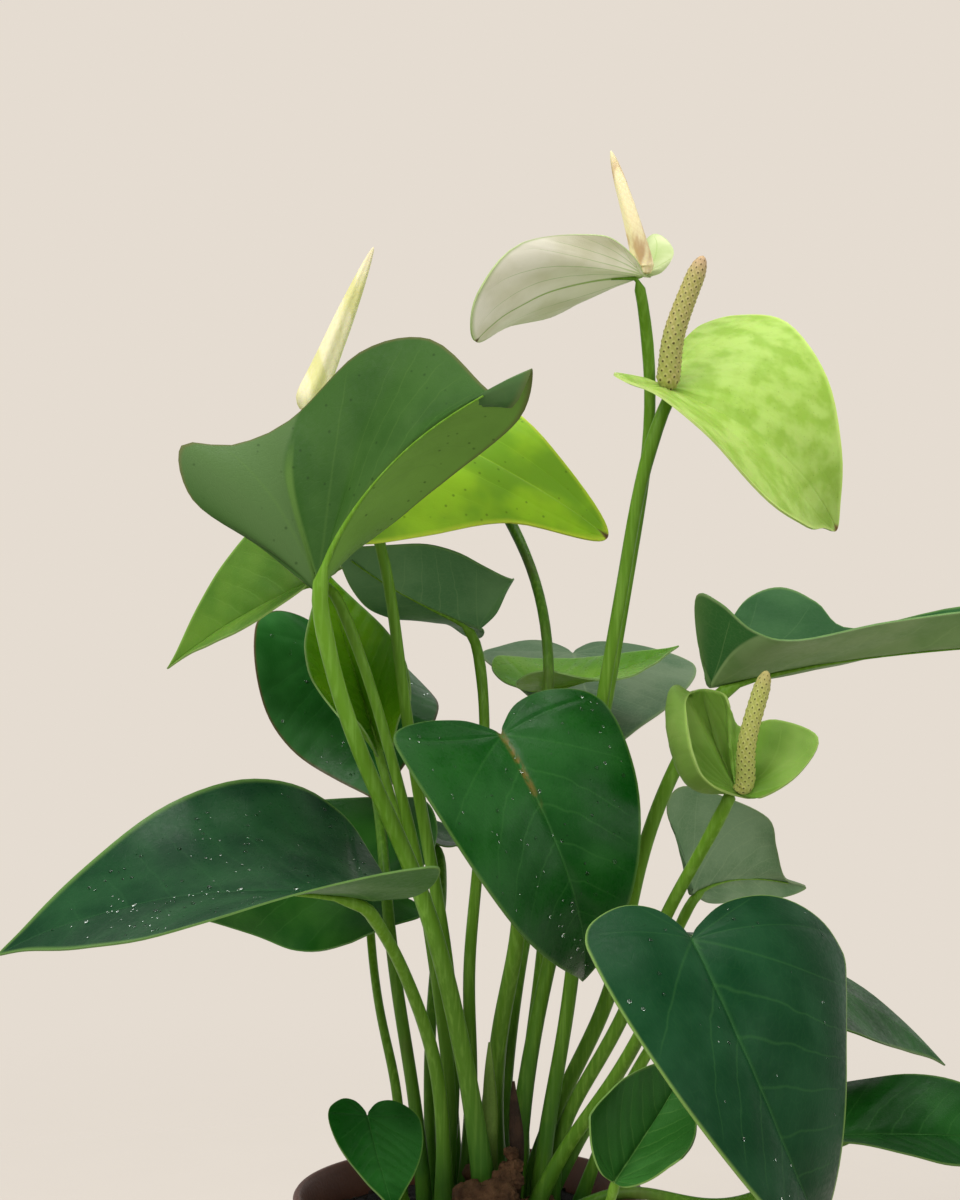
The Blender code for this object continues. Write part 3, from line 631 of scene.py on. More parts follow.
class Effects:
    """The node groups that the finishes share."""

    @cached_property
    def veins(self) -> bpy.types.NodeTree:
        """Veins of a blade from its flat places.

        Lengthwise turns the side veins into long ones that run from joint to tip.
        """
        tree, graph, given = new_group(
            "blade_veins",
            {"Flat": ("Vector", 0.0), "Spacing": ("Float", VEIN_SPACING),
             "Width": ("Float", 0.008), "Lengthwise": ("Float", 0.0)},
            ("Midrib", "Veins", "Net", "Quilt", "Margin", "Tip"))
        parts = graph.add("SeparateXYZ", Vector=given.outputs["Flat"])
        along, reach = parts.outputs["Y"], parts.outputs["Z"]
        side = graph.math("ABSOLUTE", parts.outputs["X"])
        wobble = graph.cloud(given.outputs["Flat"], 5.0, 2.0)
        wobble = graph.times(graph.minus(wobble, 0.5), 0.05)

        bend = graph.times(side, graph.math("MULTIPLY_ADD", side, VEIN_BOW, VEIN_LEAN))
        start = graph.plus(graph.minus(along, bend), wobble)
        wave = graph.math("DIVIDE", start, given.outputs["Spacing"])
        gap = graph.math("PINGPONG", wave, 0.5)
        side_gap = graph.times(graph.times(gap, VEIN_CROWDING), given.outputs["Spacing"])
        distance = graph.math("SQRT", graph.plus(graph.math("POWER", side, 2.0),
                                                 graph.math("POWER", along, 2.0)))
        angle = graph.math("ARCTAN2", side, along)
        first = round(math.radians(FIRST_LOBE_VEIN), 3)
        step = round(math.radians(LOBE_VEIN_STEP), 3)
        turned = graph.math("DIVIDE", graph.minus(angle, first), step)
        lobe_gap = graph.times(graph.math("PINGPONG", graph.plus(turned, wobble), 0.5),
                               graph.times(distance, step))
        in_lobe = graph.math("LESS_THAN", start, 0.02)
        across_gap = graph.plus(graph.times(in_lobe, lobe_gap),
                                graph.times(graph.minus(1.0, in_lobe), side_gap))

        from_tip = graph.math("ARCTAN2", side, graph.minus(1.0, along))
        lane = graph.math("DIVIDE", graph.plus(graph.plus(angle, from_tip), wobble),
                          LONG_VEIN_STEP)
        long_gap = graph.times(graph.math("PINGPONG", lane, 0.5),
                               graph.times(distance, LONG_VEIN_STEP))
        share = given.outputs["Lengthwise"]
        gap = graph.plus(graph.times(long_gap, share),
                         graph.times(across_gap, graph.minus(1.0, share)))

        width = graph.times(given.outputs["Width"],
                            graph.math("MULTIPLY_ADD", reach, -0.6, 1.0))
        fade = graph.spread(reach, 0.84, 0.97, 1.0, 0.0)
        veins = graph.times(graph.spread(gap, 0.0, width, 1.0, 0.0), fade)
        rib_width = graph.times(given.outputs["Width"],
                                graph.math("MULTIPLY_ADD", along, -1.1, 1.6))
        rib = graph.times(graph.spread(side, 0.0, rib_width, 1.0, 0.0),
                          graph.math("GREATER_THAN", along, -0.015))
        cells = graph.add("TexVoronoi", {"feature": "DISTANCE_TO_EDGE"},
                          Vector=given.outputs["Flat"], Scale=26.0)
        net = graph.spread(cells.outputs["Distance"], 0.0, 0.09, 1.0, 0.0)
        close_group(graph, Midrib=rib, Veins=veins, Net=net,
                    Quilt=graph.spread(gap, 0.0, 0.045),
                    Margin=graph.spread(reach, 0.97, 1.0),
                    Tip=graph.spread(along, 0.95, 0.985))
        return tree

    @cached_property
    def mottle(self) -> bpy.types.NodeTree:
        """Uneven colour: broad patches, fine grain and small scars."""
        tree, graph, given = new_group(
            "mottle", {"Where": ("Vector", 0.0), "Scale": ("Float", 40.0)},
            ("Patches", "Grain", "Scars"))
        nodes = []
        for factor, detail in ((1.0, 3.0), (14.0, 2.0)):
            scale = graph.times(given.outputs["Scale"], factor)
            nodes.append(graph.add("TexNoise", Vector=given.outputs["Where"], Scale=scale,
                                   Detail=detail).outputs["Fac"])
        scale = graph.times(given.outputs["Scale"], 5.0)
        spots = graph.add("TexVoronoi", Vector=given.outputs["Where"], Scale=scale)
        patches, grain = nodes
        close_group(graph, Patches=graph.spread(patches, 0.36, 0.66), Grain=grain,
                    Scars=graph.spread(spots.outputs["Distance"], 0.05, 0.16, 1.0, 0.0))
        return tree


EFFECTS = Effects()


def new_material(name: str) -> tuple[bpy.types.Material, Graph, bpy.types.Node]:
    """Empty Principled material, the graph that fills it and its shader."""
    material = bpy.data.materials.new(name)
    material.use_nodes = True
    return material, Graph(material.node_tree), material.node_tree.nodes["Principled BSDF"]


class Finish:
    """A finish, made into a material when it is first used."""

    name: str

    def material(self) -> bpy.types.Material:
        """The finish's material, built once."""
        made = bpy.data.materials.get(self.name)
        return made if made is not None else self.build()

    def build(self) -> bpy.types.Material:
        """Build the material."""
        raise NotImplementedError


class VeinRun(Enum):
    """Which way a blade's veins run."""

    SIDEWAYS = 0.0
    LENGTHWISE = 1.0


@dataclass(frozen=True)
class BladeFinish(Finish):
    """One side of a blade: its colours, veins, gloss and relief."""

    name: str
    deep: Colour
    light: Colour
    vein: Colour
    edge: Colour
    vein_strength: float = 0.5
    net_strength: float = 0.12
    roughness: float = 0.36
    coat: float = 0.0
    specular: float = 0.09
    quilt: float = 0.3
    patch_scale: float = 45.0
    run: VeinRun = VeinRun.SIDEWAYS
    tip: Optional[Colour] = None
    stain: Optional[Colour] = None
    scars: float = 0.0
    subsurface: float = 0.0
    left_half: Optional[Colour] = None
    right_lobe: Optional[Colour] = None

    def build(self) -> bpy.types.Material:
        """Build the material."""
        material, graph, shader = new_material(self.name)
        flat = graph.flat()
        veins = graph.group(EFFECTS.veins, Flat=flat, Lengthwise=self.run.value)
        mottle = graph.group(EFFECTS.mottle, Where=graph.place(), Scale=self.patch_scale)
        parts = veins.outputs
        colour = graph.mix(mottle.outputs["Patches"], self.deep, self.light)
        if self.left_half:
            colour = graph.mix(self.left_mask(graph, flat), colour, self.left_half)
        if self.right_lobe:
            lobe, crease = self.lobe_masks(graph, flat)
            colour = graph.mix(lobe, colour, self.right_lobe)
            colour = graph.mix(crease, colour, self.vein)
        for part, strength in (("Net", self.net_strength), ("Veins", self.vein_strength),
                               ("Midrib", min(1.0, self.vein_strength * 1.6))):
            colour = graph.mix(graph.times(parts[part], strength), colour, self.vein)
        if self.scars:
            colour = graph.mix(graph.times(mottle.outputs["Scars"], self.scars),
                               colour, tuple(channel * 0.35 for channel in self.deep))
        if self.stain:
            colour = graph.mix(self.stain_mask(graph, flat), colour, self.stain)
        colour = graph.mix(graph.times(parts["Margin"], 0.8), colour, self.edge)
        if self.tip:
            colour = graph.mix(parts["Tip"], colour, self.tip)
        gloss = graph.spread(mottle.outputs["Grain"], 0.3, 0.7, self.roughness - 0.06,
                             self.roughness + 0.08)
        graph.fill(shader, Base_Color=colour, Roughness=gloss, Coat_Weight=self.coat,
                   Coat_Roughness=0.12, Specular_IOR_Level=self.specular,
                   Normal=self.relief(graph, parts, mottle.outputs["Grain"]))
        if self.subsurface:
            graph.fill(shader, Subsurface_Weight=self.subsurface,
                       Subsurface_Radius=(0.35, 1.0, 0.15), Subsurface_Scale=0.002)
        return material

    def relief(self, graph: Graph, parts: bpy.types.NodeOutputs, grain: Socket) -> Socket:
        """Normals of pillows between veins, a sunk midrib and a fine grain."""
        height = graph.times(parts["Quilt"], self.quilt)
        height = graph.math("MULTIPLY_ADD", parts["Net"], -0.05, height)
        height = graph.math("MULTIPLY_ADD", grain, 0.10, height)
        height = graph.math("MULTIPLY_ADD", parts["Midrib"], -0.6, height)
        return graph.bump(height, 0.5, 0.0006)

    def left_mask(self, graph: Graph, flat: Socket) -> Socket:
        """The half of the blade to the left of its midrib."""
        parts = graph.add("SeparateXYZ", Vector=flat)
        patches = graph.cloud(graph.place(), self.patch_scale)
        return graph.times(graph.spread(parts.outputs["X"], -0.012, 0.0, 1.0, 0.0),
                           graph.spread(patches, 0.2, 0.8, 0.75, 1.0))

    def lobe_masks(self, graph: Graph, flat: Socket) -> tuple[Socket, Socket]:
        """The right lobe, and the raised vein that it is creased along."""
        parts = graph.add("SeparateXYZ", Vector=flat)
        angle = graph.math("ARCTAN2", parts.outputs["X"], parts.outputs["Y"])
        bend = graph.times(parts.outputs["Z"], parts.outputs["Z"])
        beyond = graph.minus(angle, graph.math("MULTIPLY_ADD", bend, -0.25, 1.62))
        away = graph.times(graph.math("ABSOLUTE", beyond), parts.outputs["Z"])
        crease = graph.times(graph.spread(away, 0.006, 0.028, 1.0, 0.0),
                             graph.spread(parts.outputs["Z"], 0.5, 0.85, 0.8, 0.0))
        lobe = graph.times(graph.spread(beyond, 0.0, 0.06),
                           graph.spread(beyond, 0.5, 1.2, 0.9, 0.25))
        return lobe, crease

    def stain_mask(self, graph: Graph, flat: Socket) -> Socket:
        """Where an old stain lies along the upper midrib."""
        parts = graph.add("SeparateXYZ", Vector=flat)
        side = graph.math("ABSOLUTE", parts.outputs["X"])
        wander = graph.cloud(flat, 22.0)
        band = graph.spread(graph.times(side, graph.plus(wander, 0.6)),
                            0.004, 0.022, 1.0, 0.0)
        near = graph.spread(parts.outputs["Y"], 0.16, 0.30, 1.0, 0.0)
        return graph.times(graph.times(band, near),
                           graph.spread(wander, 0.35, 0.6))


@dataclass(frozen=True)
class StalkFinish(Finish):
    """A stalk: its colours from foot to top, fine streaks along it and painted shade at its
    foot.
    """

    name: str
    foot: Colour
    top: Colour
    streak: Colour
    blush: Optional[Colour] = None
    # Colour of the painted shade blotched over the foot, where the stalks crowd at the soil.
    base: Colour = (0.02, 0.105, 0.012)

    def build(self) -> bpy.types.Material:
        """Build the material."""
        material, graph, shader = new_material(self.name)
        parts = graph.add("SeparateXYZ", Vector=graph.flat())
        streaks = graph.cloud(graph.place((700.0, 700.0, 22.0)), 1.0)
        patches = graph.cloud(graph.place(), 38.0)
        colour = graph.mix(graph.spread(parts.outputs["X"], 0.0, 0.75), self.foot, self.top)
        colour = graph.mix(graph.spread(streaks, 0.42, 0.72, 0.0, 0.7), colour, self.streak)
        if self.blush:
            colour = graph.mix(graph.spread(patches, 0.5, 0.68, 0.0, 0.6), colour, self.blush)
        # Painted shade: the base colour in blotches over the lowest fifth of the length, where
        # the stalks crowd.
        base = graph.times(graph.spread(parts.outputs["X"], 0.0, 0.2, 1.0, 0.0),
                           graph.spread(patches, 0.35, 0.6, 0.35, 0.9))
        colour = graph.mix(base, colour, self.base)
        graph.fill(shader, Base_Color=colour, Specular_IOR_Level=0.15,
                   Roughness=graph.spread(patches, 0.3, 0.7, 0.32, 0.48),
                   Subsurface_Weight=0.12, Subsurface_Radius=(0.4, 1.0, 0.15),
                   Subsurface_Scale=0.002, Normal=graph.bump(streaks, 0.35, 0.0006))
        return material


@dataclass(frozen=True)
class SpikeFinish(Finish):
    """A spadix: its colour, the gaps and dots of its small knobs, and a soft smear."""

    name: str
    knob: Colour
    gap: Colour
    dot: Colour
    tip: Colour
    smear: Colour
    dots: float = 0.0
    smears: float = 0.0

    def build(self) -> bpy.types.Material:
        """Build the material. The knobs' height is in the piece's flat attribute."""
        material, graph, shader = new_material(self.name)
        parts = graph.add("SeparateXYZ", Vector=graph.flat())
        grain = graph.cloud(graph.place(), 900.0)
        patches = graph.cloud(graph.place((170.0, 170.0, 45.0)), 1.0)
        knob = graph.math("MULTIPLY_ADD", graph.minus(grain, 0.5), 0.4,
                          parts.outputs["Z"])
        colour = graph.mix(graph.spread(knob, 0.0, 0.35), self.gap, self.knob)
        colour = graph.mix(graph.spread(patches, 0.46, 0.62, 0.0, self.smears), colour,
                           self.smear)
        colour = graph.mix(graph.spread(parts.outputs["X"], 0.8, 1.0), colour, self.tip)
        colour = graph.mix(graph.spread(knob, 0.66, 0.82, 0.0, self.dots), colour, self.dot)
        graph.fill(shader, Base_Color=colour, Specular_IOR_Level=0.2,
                   Roughness=graph.spread(grain, 0.3, 0.7, 0.45, 0.62),
                   Subsurface_Weight=0.15, Subsurface_Radius=(1.0, 0.8, 0.3),
                   Subsurface_Scale=0.002, Normal=graph.bump(grain, 0.3, 0.0004))
        return material


@dataclass(frozen=True)
class GroundFinish(Finish):
    """A dull, grainy finish: soil, crown, dried sheath or moulded pot."""

    name: str
    dark: Colour
    light: Colour
    scale: float
    roughness: float
    relief: float = 0.6
    specular: float = 0.3

    def build(self) -> bpy.types.Material:
        """Build the material."""
        material, graph, shader = new_material(self.name)
        mottle = graph.group(EFFECTS.mottle, Where=graph.place(), Scale=self.scale)
        patches, grain = mottle.outputs["Patches"], mottle.outputs["Grain"]
        colour = graph.mix(graph.times(graph.plus(patches, grain), 0.6),
                           self.dark, self.light)
        gloss = graph.spread(grain, 0.3, 0.7, self.roughness - 0.08, self.roughness + 0.05)
        graph.fill(shader, Base_Color=colour, Roughness=gloss,
                   Specular_IOR_Level=self.specular,
                   Normal=graph.bump(grain, self.relief, 0.0008))
        return material


@dataclass(frozen=True)
class DropFinish(Finish):
    """Clear water."""

    name: str = "water_drop"

    def build(self) -> bpy.types.Material:
        """Build the glossy clear material."""
        material, graph, shader = new_material(self.name)
        grain = graph.cloud(graph.place(), 1500.0)
        graph.fill(shader, Base_Color=(0.85, 0.95, 0.88), Transmission_Weight=1.0, IOR=1.33,
                   Roughness=graph.spread(grain, 0.3, 0.7, 0.08, 0.16))
        return material


HOOD_UPPER = BladeFinish("hood_upper", (0.045, 0.12, 0.032), (0.085, 0.17, 0.055),
                         vein=(0.10, 0.20, 0.05), edge=(0.12, 0.16, 0.05))
HOOD_UNDER = BladeFinish("hood_under", (0.029, 0.087, 0.012), (0.043, 0.110, 0.019),
                         vein=(0.105, 0.20, 0.04), edge=(0.12, 0.12, 0.04),
                         vein_strength=0.18, net_strength=0.02, roughness=0.46, quilt=0.06,
                         scars=0.5, left_half=(0.17, 0.33, 0.055),
                         right_lobe=(0.082, 0.15, 0.045))
LIME_UPPER = BladeFinish("lime_upper", (0.07, 0.17, 0.015), (0.115, 0.23, 0.024),
                         vein=(0.16, 0.30, 0.05), edge=(0.22, 0.36, 0.07),
                         vein_strength=0.25, net_strength=0.05, quilt=0.12, subsurface=0.2)
LIME_UNDER = replace(LIME_UPPER, name="lime_under", deep=(0.09, 0.19, 0.020),
                     light=(0.13, 0.24, 0.030), vein=(0.17, 0.30, 0.05), roughness=0.46)
GREY_UPPER = BladeFinish("grey_upper", (0.085, 0.155, 0.078), (0.15, 0.215, 0.125),
                         vein=(0.21, 0.29, 0.165), edge=(0.20, 0.29, 0.13),
                         vein_strength=0.35, net_strength=0.2, roughness=0.55, quilt=0.35)
GREY_UNDER = replace(GREY_UPPER, name="grey_under", deep=(0.125, 0.23, 0.105),
                     light=(0.20, 0.31, 0.165), vein=(0.28, 0.39, 0.21),
                     edge=(0.22, 0.32, 0.13), vein_strength=0.4, net_strength=0.25)
SLATE_UPPER = BladeFinish("slate_upper", (0.045, 0.12, 0.042), (0.085, 0.17, 0.072),
                          vein=(0.13, 0.23, 0.10), edge=(0.13, 0.25, 0.08),
                          vein_strength=0.3, net_strength=0.15, roughness=0.5, quilt=0.3)
SLATE_UNDER = replace(SLATE_UPPER, name="slate_under", deep=(0.10, 0.23, 0.088),
                      light=(0.16, 0.31, 0.13), vein=(0.22, 0.38, 0.15),
                      edge=(0.18, 0.32, 0.10), vein_strength=0.35)
SATIN_DARK = BladeFinish("satin_dark", (0.003, 0.046, 0.003), (0.012, 0.082, 0.010),
                         vein=(0.045, 0.155, 0.03), edge=(0.085, 0.17, 0.03),
                         vein_strength=0.25, net_strength=0.04, roughness=0.33)
STAINED_DARK = BladeFinish("stained_dark", (0.003, 0.055, 0.004), (0.013, 0.088, 0.012),
                           vein=(0.05, 0.18, 0.035), edge=(0.085, 0.19, 0.035),
                           vein_strength=0.2, net_strength=0.03, roughness=0.3,
                           specular=0.14, coat=0.04, stain=(0.15, 0.11, 0.02))
BLUE_DARK = BladeFinish("blue_dark", (0.002, 0.037, 0.009), (0.009, 0.056, 0.018),
                        vein=(0.055, 0.18, 0.04), edge=(0.20, 0.34, 0.07),
                        vein_strength=0.16, net_strength=0.03, roughness=0.36)
WET_DARK = BladeFinish("wet_dark", (0.003, 0.036, 0.010), (0.012, 0.064, 0.019),
                       vein=(0.025, 0.10, 0.03), edge=(0.12, 0.24, 0.05),
                       vein_strength=0.18, net_strength=0.05, roughness=0.33,
                       specular=0.12, coat=0.03)
RED_EDGED = BladeFinish("red_edged", (0.012, 0.095, 0.012), (0.030, 0.155, 0.028),
                        vein=(0.05, 0.19, 0.045), edge=(0.13, 0.07, 0.035),
                        vein_strength=0.2, net_strength=0.06, roughness=0.34,
                        specular=0.14, coat=0.05, quilt=0.45)
DARK_UNDER = BladeFinish("dark_under", (0.055, 0.15, 0.035), (0.085, 0.19, 0.055),
                         vein=(0.14, 0.27, 0.07), edge=(0.16, 0.28, 0.05),
                         vein_strength=0.4, net_strength=0.1, roughness=0.5)
FOLDED_UPPER = BladeFinish("folded_upper", (0.018, 0.088, 0.020), (0.036, 0.122, 0.034),
                           vein=(0.10, 0.21, 0.07), edge=(0.15, 0.28, 0.08),
                           vein_strength=0.25, net_strength=0.05, roughness=0.42)
FOLDED_UNDER = BladeFinish("folded_under", (0.14, 0.25, 0.075), (0.20, 0.30, 0.115),
                           vein=(0.24, 0.36, 0.13), edge=(0.28, 0.40, 0.16),
                           vein_strength=0.3, net_strength=0.08, roughness=0.48,
                           right_lobe=(0.022, 0.12, 0.022))
MID_UPPER = BladeFinish("mid_upper", (0.028, 0.135, 0.018), (0.052, 0.19, 0.036),
                        vein=(0.14, 0.32, 0.07), edge=(0.18, 0.34, 0.07),
                        vein_strength=0.45, net_strength=0.06)
MID_UNDER = BladeFinish("mid_under", (0.05, 0.15, 0.035), (0.08, 0.19, 0.055),
                        vein=(0.14, 0.27, 0.08), edge=(0.18, 0.31, 0.07),
                        roughness=0.5)
YOUNG_UPPER = BladeFinish("young_upper", (0.085, 0.25, 0.003), (0.15, 0.34, 0.008),
                          vein=(0.18, 0.35, 0.04), edge=(0.25, 0.42, 0.11),
                          vein_strength=0.35, net_strength=0.12, roughness=0.32,
                          specular=0.15, quilt=0.6, subsurface=0.2)
YOUNG_UNDER = replace(YOUNG_UPPER, name="young_under", deep=(0.12, 0.28, 0.010),
                      light=(0.19, 0.36, 0.025), vein=(0.20, 0.37, 0.06), roughness=0.42,
                      specular=0.09, quilt=0.5)
YOUNG_DEEP = BladeFinish("young_deep", (0.008, 0.074, 0.004), (0.026, 0.115, 0.012),
                         vein=(0.05, 0.17, 0.03), edge=(0.09, 0.22, 0.04),
                         vein_strength=0.25, net_strength=0.06, roughness=0.34)

WHITE_SPATHE = BladeFinish("white_spathe", (0.40, 0.50, 0.20), (0.62, 0.68, 0.38),
                           vein=(0.26, 0.42, 0.08), edge=(0.46, 0.58, 0.24),
                           vein_strength=0.5, net_strength=0.0, roughness=0.45, quilt=0.2,
                           run=VeinRun.LENGTHWISE, tip=(0.13, 0.10, 0.03))
WHITE_SPATHE_UNDER = replace(WHITE_SPATHE, name="white_spathe_under",
                             deep=(0.72, 0.69, 0.48), light=(0.90, 0.86, 0.70),
                             vein=(0.30, 0.46, 0.08), edge=(0.46, 0.56, 0.24),
                             vein_strength=0.6, roughness=0.5)
LIME_SPATHE = BladeFinish("lime_spathe", (0.27, 0.43, 0.055), (0.39, 0.55, 0.12),
                          vein=(0.30, 0.48, 0.07), edge=(0.52, 0.68, 0.18),
                          vein_strength=0.2, net_strength=0.06, roughness=0.42, quilt=0.3,
                          patch_scale=120.0, run=VeinRun.LENGTHWISE, tip=(0.20, 0.12, 0.03),
                          scars=0.4, subsurface=0.3)
LIME_SPATHE_UNDER = BladeFinish("lime_spathe_under", (0.24, 0.42, 0.06), (0.36, 0.54, 0.11),
                                vein=(0.20, 0.38, 0.05), edge=(0.40, 0.56, 0.14),
                                vein_strength=0.25, net_strength=0.06, roughness=0.48,
                                run=VeinRun.LENGTHWISE, tip=(0.20, 0.12, 0.03),
                                subsurface=0.3)
GREEN_SPATHE = BladeFinish("green_spathe", (0.18, 0.36, 0.020), (0.31, 0.54, 0.022),
                           vein=(0.36, 0.60, 0.05), edge=(0.52, 0.62, 0.05),
                           vein_strength=0.3, net_strength=0.0, roughness=0.42, quilt=0.3,
                           run=VeinRun.LENGTHWISE, tip=(0.12, 0.07, 0.03), scars=0.6,
                           subsurface=0.3)
GREEN_SPATHE_UNDER = replace(GREEN_SPATHE, name="green_spathe_under",
                             deep=(0.18, 0.37, 0.020), light=(0.32, 0.55, 0.022),
                             roughness=0.48)
FRESH_SPATHE = BladeFinish("fresh_spathe", (0.12, 0.24, 0.025), (0.21, 0.35, 0.06),
                           vein=(0.22, 0.37, 0.07), edge=(0.30, 0.44, 0.10),
                           vein_strength=0.25, net_strength=0.0, roughness=0.4,
                           run=VeinRun.LENGTHWISE, subsurface=0.2)
FRESH_SPATHE_UNDER = replace(FRESH_SPATHE, name="fresh_spathe_under",
                             deep=(0.14, 0.25, 0.04), light=(0.19, 0.30, 0.06),
                             vein=(0.22, 0.35, 0.08), vein_strength=0.3, roughness=0.48)

STALK_BRIGHT = StalkFinish("stalk_bright", (0.10, 0.24, 0.018), (0.135, 0.29, 0.018),
                           (0.21, 0.40, 0.055))
STALK_GREEN = StalkFinish("stalk_green", (0.09, 0.215, 0.014), (0.115, 0.25, 0.014),
                          (0.19, 0.36, 0.045))
STALK_DEEP = StalkFinish("stalk_deep", (0.085, 0.20, 0.014), (0.060, 0.155, 0.010),
                         (0.13, 0.27, 0.028), blush=(0.085, 0.10, 0.025))

CREAM_STREAKED = SpikeFinish("cream_streaked", (0.90, 0.79, 0.48), (0.86, 0.73, 0.43),
                             (0.60, 0.40, 0.20), (0.80, 0.72, 0.42), (0.50, 0.28, 0.13),
                             dots=0.1, smears=0.75)
PALE_CREAM = SpikeFinish("pale_cream", (0.86, 0.80, 0.50), (0.83, 0.77, 0.46),
                         (0.78, 0.74, 0.36), (0.80, 0.70, 0.46), (0.66, 0.64, 0.22),
                         smears=0.7)
TAN_OLIVE = SpikeFinish("tan_olive", (0.46, 0.40, 0.15), (0.36, 0.33, 0.09),
                        (0.06, 0.045, 0.010), (0.50, 0.34, 0.19), (0.36, 0.38, 0.10),
                        dots=0.95, smears=0.6)
OLIVE = SpikeFinish("olive", (0.44, 0.45, 0.13), (0.36, 0.38, 0.08), (0.07, 0.07, 0.01),
                    (0.40, 0.34, 0.12), (0.36, 0.42, 0.10), dots=0.95, smears=0.5)

PEAT = GroundFinish("peat", (0.001, 0.001, 0.001), (0.010, 0.008, 0.007), 160.0, 0.85,
                    relief=1.0, specular=0.15)
CRUMB = GroundFinish("crumb", (0.004, 0.003, 0.002), (0.028, 0.018, 0.012), 300.0, 0.8,
                     relief=1.0, specular=0.15)
STUMP = GroundFinish("stump", (0.040, 0.018, 0.008), (0.17, 0.085, 0.04), 200.0, 0.75,
                     relief=1.0, specular=0.2)
DRIED = GroundFinish("dried", (0.014, 0.007, 0.004), (0.06, 0.03, 0.015), 220.0, 0.7)
SHEATH_GREEN = GroundFinish("sheath_skin", (0.11, 0.20, 0.03), (0.19, 0.31, 0.06), 120.0, 0.5,
                            relief=0.3, specular=0.15)
CLAY = GroundFinish("clay_plastic", (0.090, 0.030, 0.017), (0.125, 0.045, 0.026), 60.0, 0.46,
                    relief=0.12, specular=0.3)


# --- Leaves and flowers -----------------------------------------------------------

SOIL_TOP = 101.0
CAD_GAP = 0.3


@dataclass
class Stalk:
    """A leaf or flower stalk, from its swollen foot to the midrib under the blade."""

    name: str
    node: str
    route: Route
    widths: tuple[float, float, float]
    blade: Surface
    skin: StalkFinish
    rings: int = 44
    rib_rings: int = 16
    rib_start: float = 0.10
    rib_end: float = 0.85
    rib_girth: float = 0.6
    rib_taper: float = 2.6
    sides: int = 14
    swell: float = 0.22
    knee: float = 0.10
    knee_place: float = 0.93
    knee_length: float = 0.035
    oval: float = 0.03
    calm: int = 30

    def middle_line(self) -> list[Vector]:
        """Middle of the stalk and of the midrib that it runs on into."""
        (x, y), *others = self.route
        below = self.blade.point(0, 0.02) - self.blade.normal(0, 0.02) * self.widths[-1] * 0.4
        rise = [(x, y, SOIL_TOP + CAD_GAP), *others, below]
        stalk = relaxed(even_steps(smooth_line(rise, SPAN_STEPS), self.rings), self.calm)
        steps = [self.rib_start + (self.rib_end - self.rib_start) * i / (self.rib_rings - 1)
                 for i in range(self.rib_rings)]
        rib = [self.blade.point(0, share) - self.blade.normal(0, share) * self.rib_depth(share)
               for share in steps]
        return relaxed([*stalk, *rib], 3)

    def rib_depth(self, share: float) -> float:
        """How far the midrib's middle lies under the blade's, in mm."""
        return self.rib_radius(share) + 0.3

    def rib_radius(self, share: float) -> float:
        """Radius of the midrib at a share of the blade's length."""
        return max(0.3, self.widths[-1] / 2 * self.rib_girth * (1 - share) ** self.rib_taper)

    def radius(self, share: float, angle: float) -> float:
        """Radius of the stalk or midrib in mm at a share of the points."""
        foot, middle, top = (width / 2 for width in self.widths)
        place = share * (self.rings + self.rib_rings - 1)
        if place > self.rings - 0.5:
            step = (place - self.rings) / (self.rib_rings - 1)
            return self.rib_radius(self.rib_start + (self.rib_end - self.rib_start) * step)
        rise = place / (self.rings - 1)
        slender = middle + (top - middle) * rise
        swollen = slender + (foot - slender) * max(0.0, 1 - rise / self.swell) ** 1.5
        knee = self.knee * top * math.exp(-((rise - self.knee_place) / self.knee_length) ** 2)
        return swollen + knee + self.oval * swollen * math.sin(2 * angle + 9 * rise)

    def build(self) -> None:
        """Model the stalk and put it in the frame."""
        piece = rod(self.name, self.middle_line(), self.radius, self.sides,
                    start=UPWARDS)
        shade(piece)
        dress(piece, [self.skin.material()], "stalks", self.node)


@dataclass
class Blade:
    """A leaf blade or a spathe: a thin curved heart with veins pressed into it."""

    name: str
    node: str
    surface: Surface
    upper: BladeFinish
    under: BladeFinish
    slot: str
    rings: int = 28
    per_span: int = 6
    thickness: float = 0.6
    quilting: float = 0.22
    pillow_edge: float = 0.045
    groove: float = 0.45
    groove_width: float = 0.022
    unevenness: float = 0.5

    def relief(self, across: float, along: float) -> float:
        """Height of the surface in mm: pillows between veins and a groove on the midrib."""
        reach = math.hypot(across, along) / max(outline_radius(math.atan2(across, along)), 1e-6)
        calm = max(0.0, 1 - reach ** 3)
        if self.upper.run is VeinRun.SIDEWAYS:
            pillow = min(1.0, vein_distance(across, along) / self.pillow_edge)
        else:
            turn = math.atan2(abs(across), along) + math.atan2(abs(across), 1 - along)
            lane = turn / LONG_VEIN_STEP
            pillow = min(1.0, abs(lane - round(lane)) / 0.3)
        dip = math.exp(-(across / self.groove_width) ** 2) * (1 - min(max(along, 0.0), 1.0))
        seed = sum(map(ord, self.name)) * 1.7
        wave = noise.noise(Vector((across * 5, along * 5, seed)))
        return (self.quilting * (pillow - 0.5) * calm - self.groove * dip
                + self.unevenness * wave * min(1.0, reach * 1.5))

    def build(self) -> None:
        """Model the blade and put it in the frame."""
        piece = fan(self.name, self.surface, self.rings, self.per_span, self.relief)
        wall = piece.modifiers.new("wall", "SOLIDIFY")
        wall.thickness = self.thickness * MM
        wall.offset = 0.0
        wall.material_offset = 1
        wall.material_offset_rim = 2
        for _ in range(3):
            piece.data.materials.append(None)
        apply_modifiers(piece)
        shade(piece, 60.0)
        finishes = [self.upper.material(), self.under.material(), self.rim().material()]
        dress(piece, finishes, self.slot, self.node)

    def rim(self) -> GroundFinish:
        """Finish of the blade's cut edge."""
        edge = self.upper.edge
        return GroundFinish(f"{self.upper.name}_edge", tuple(part * 0.8 for part in edge),
                            edge, 300.0, 0.5, relief=0.1)


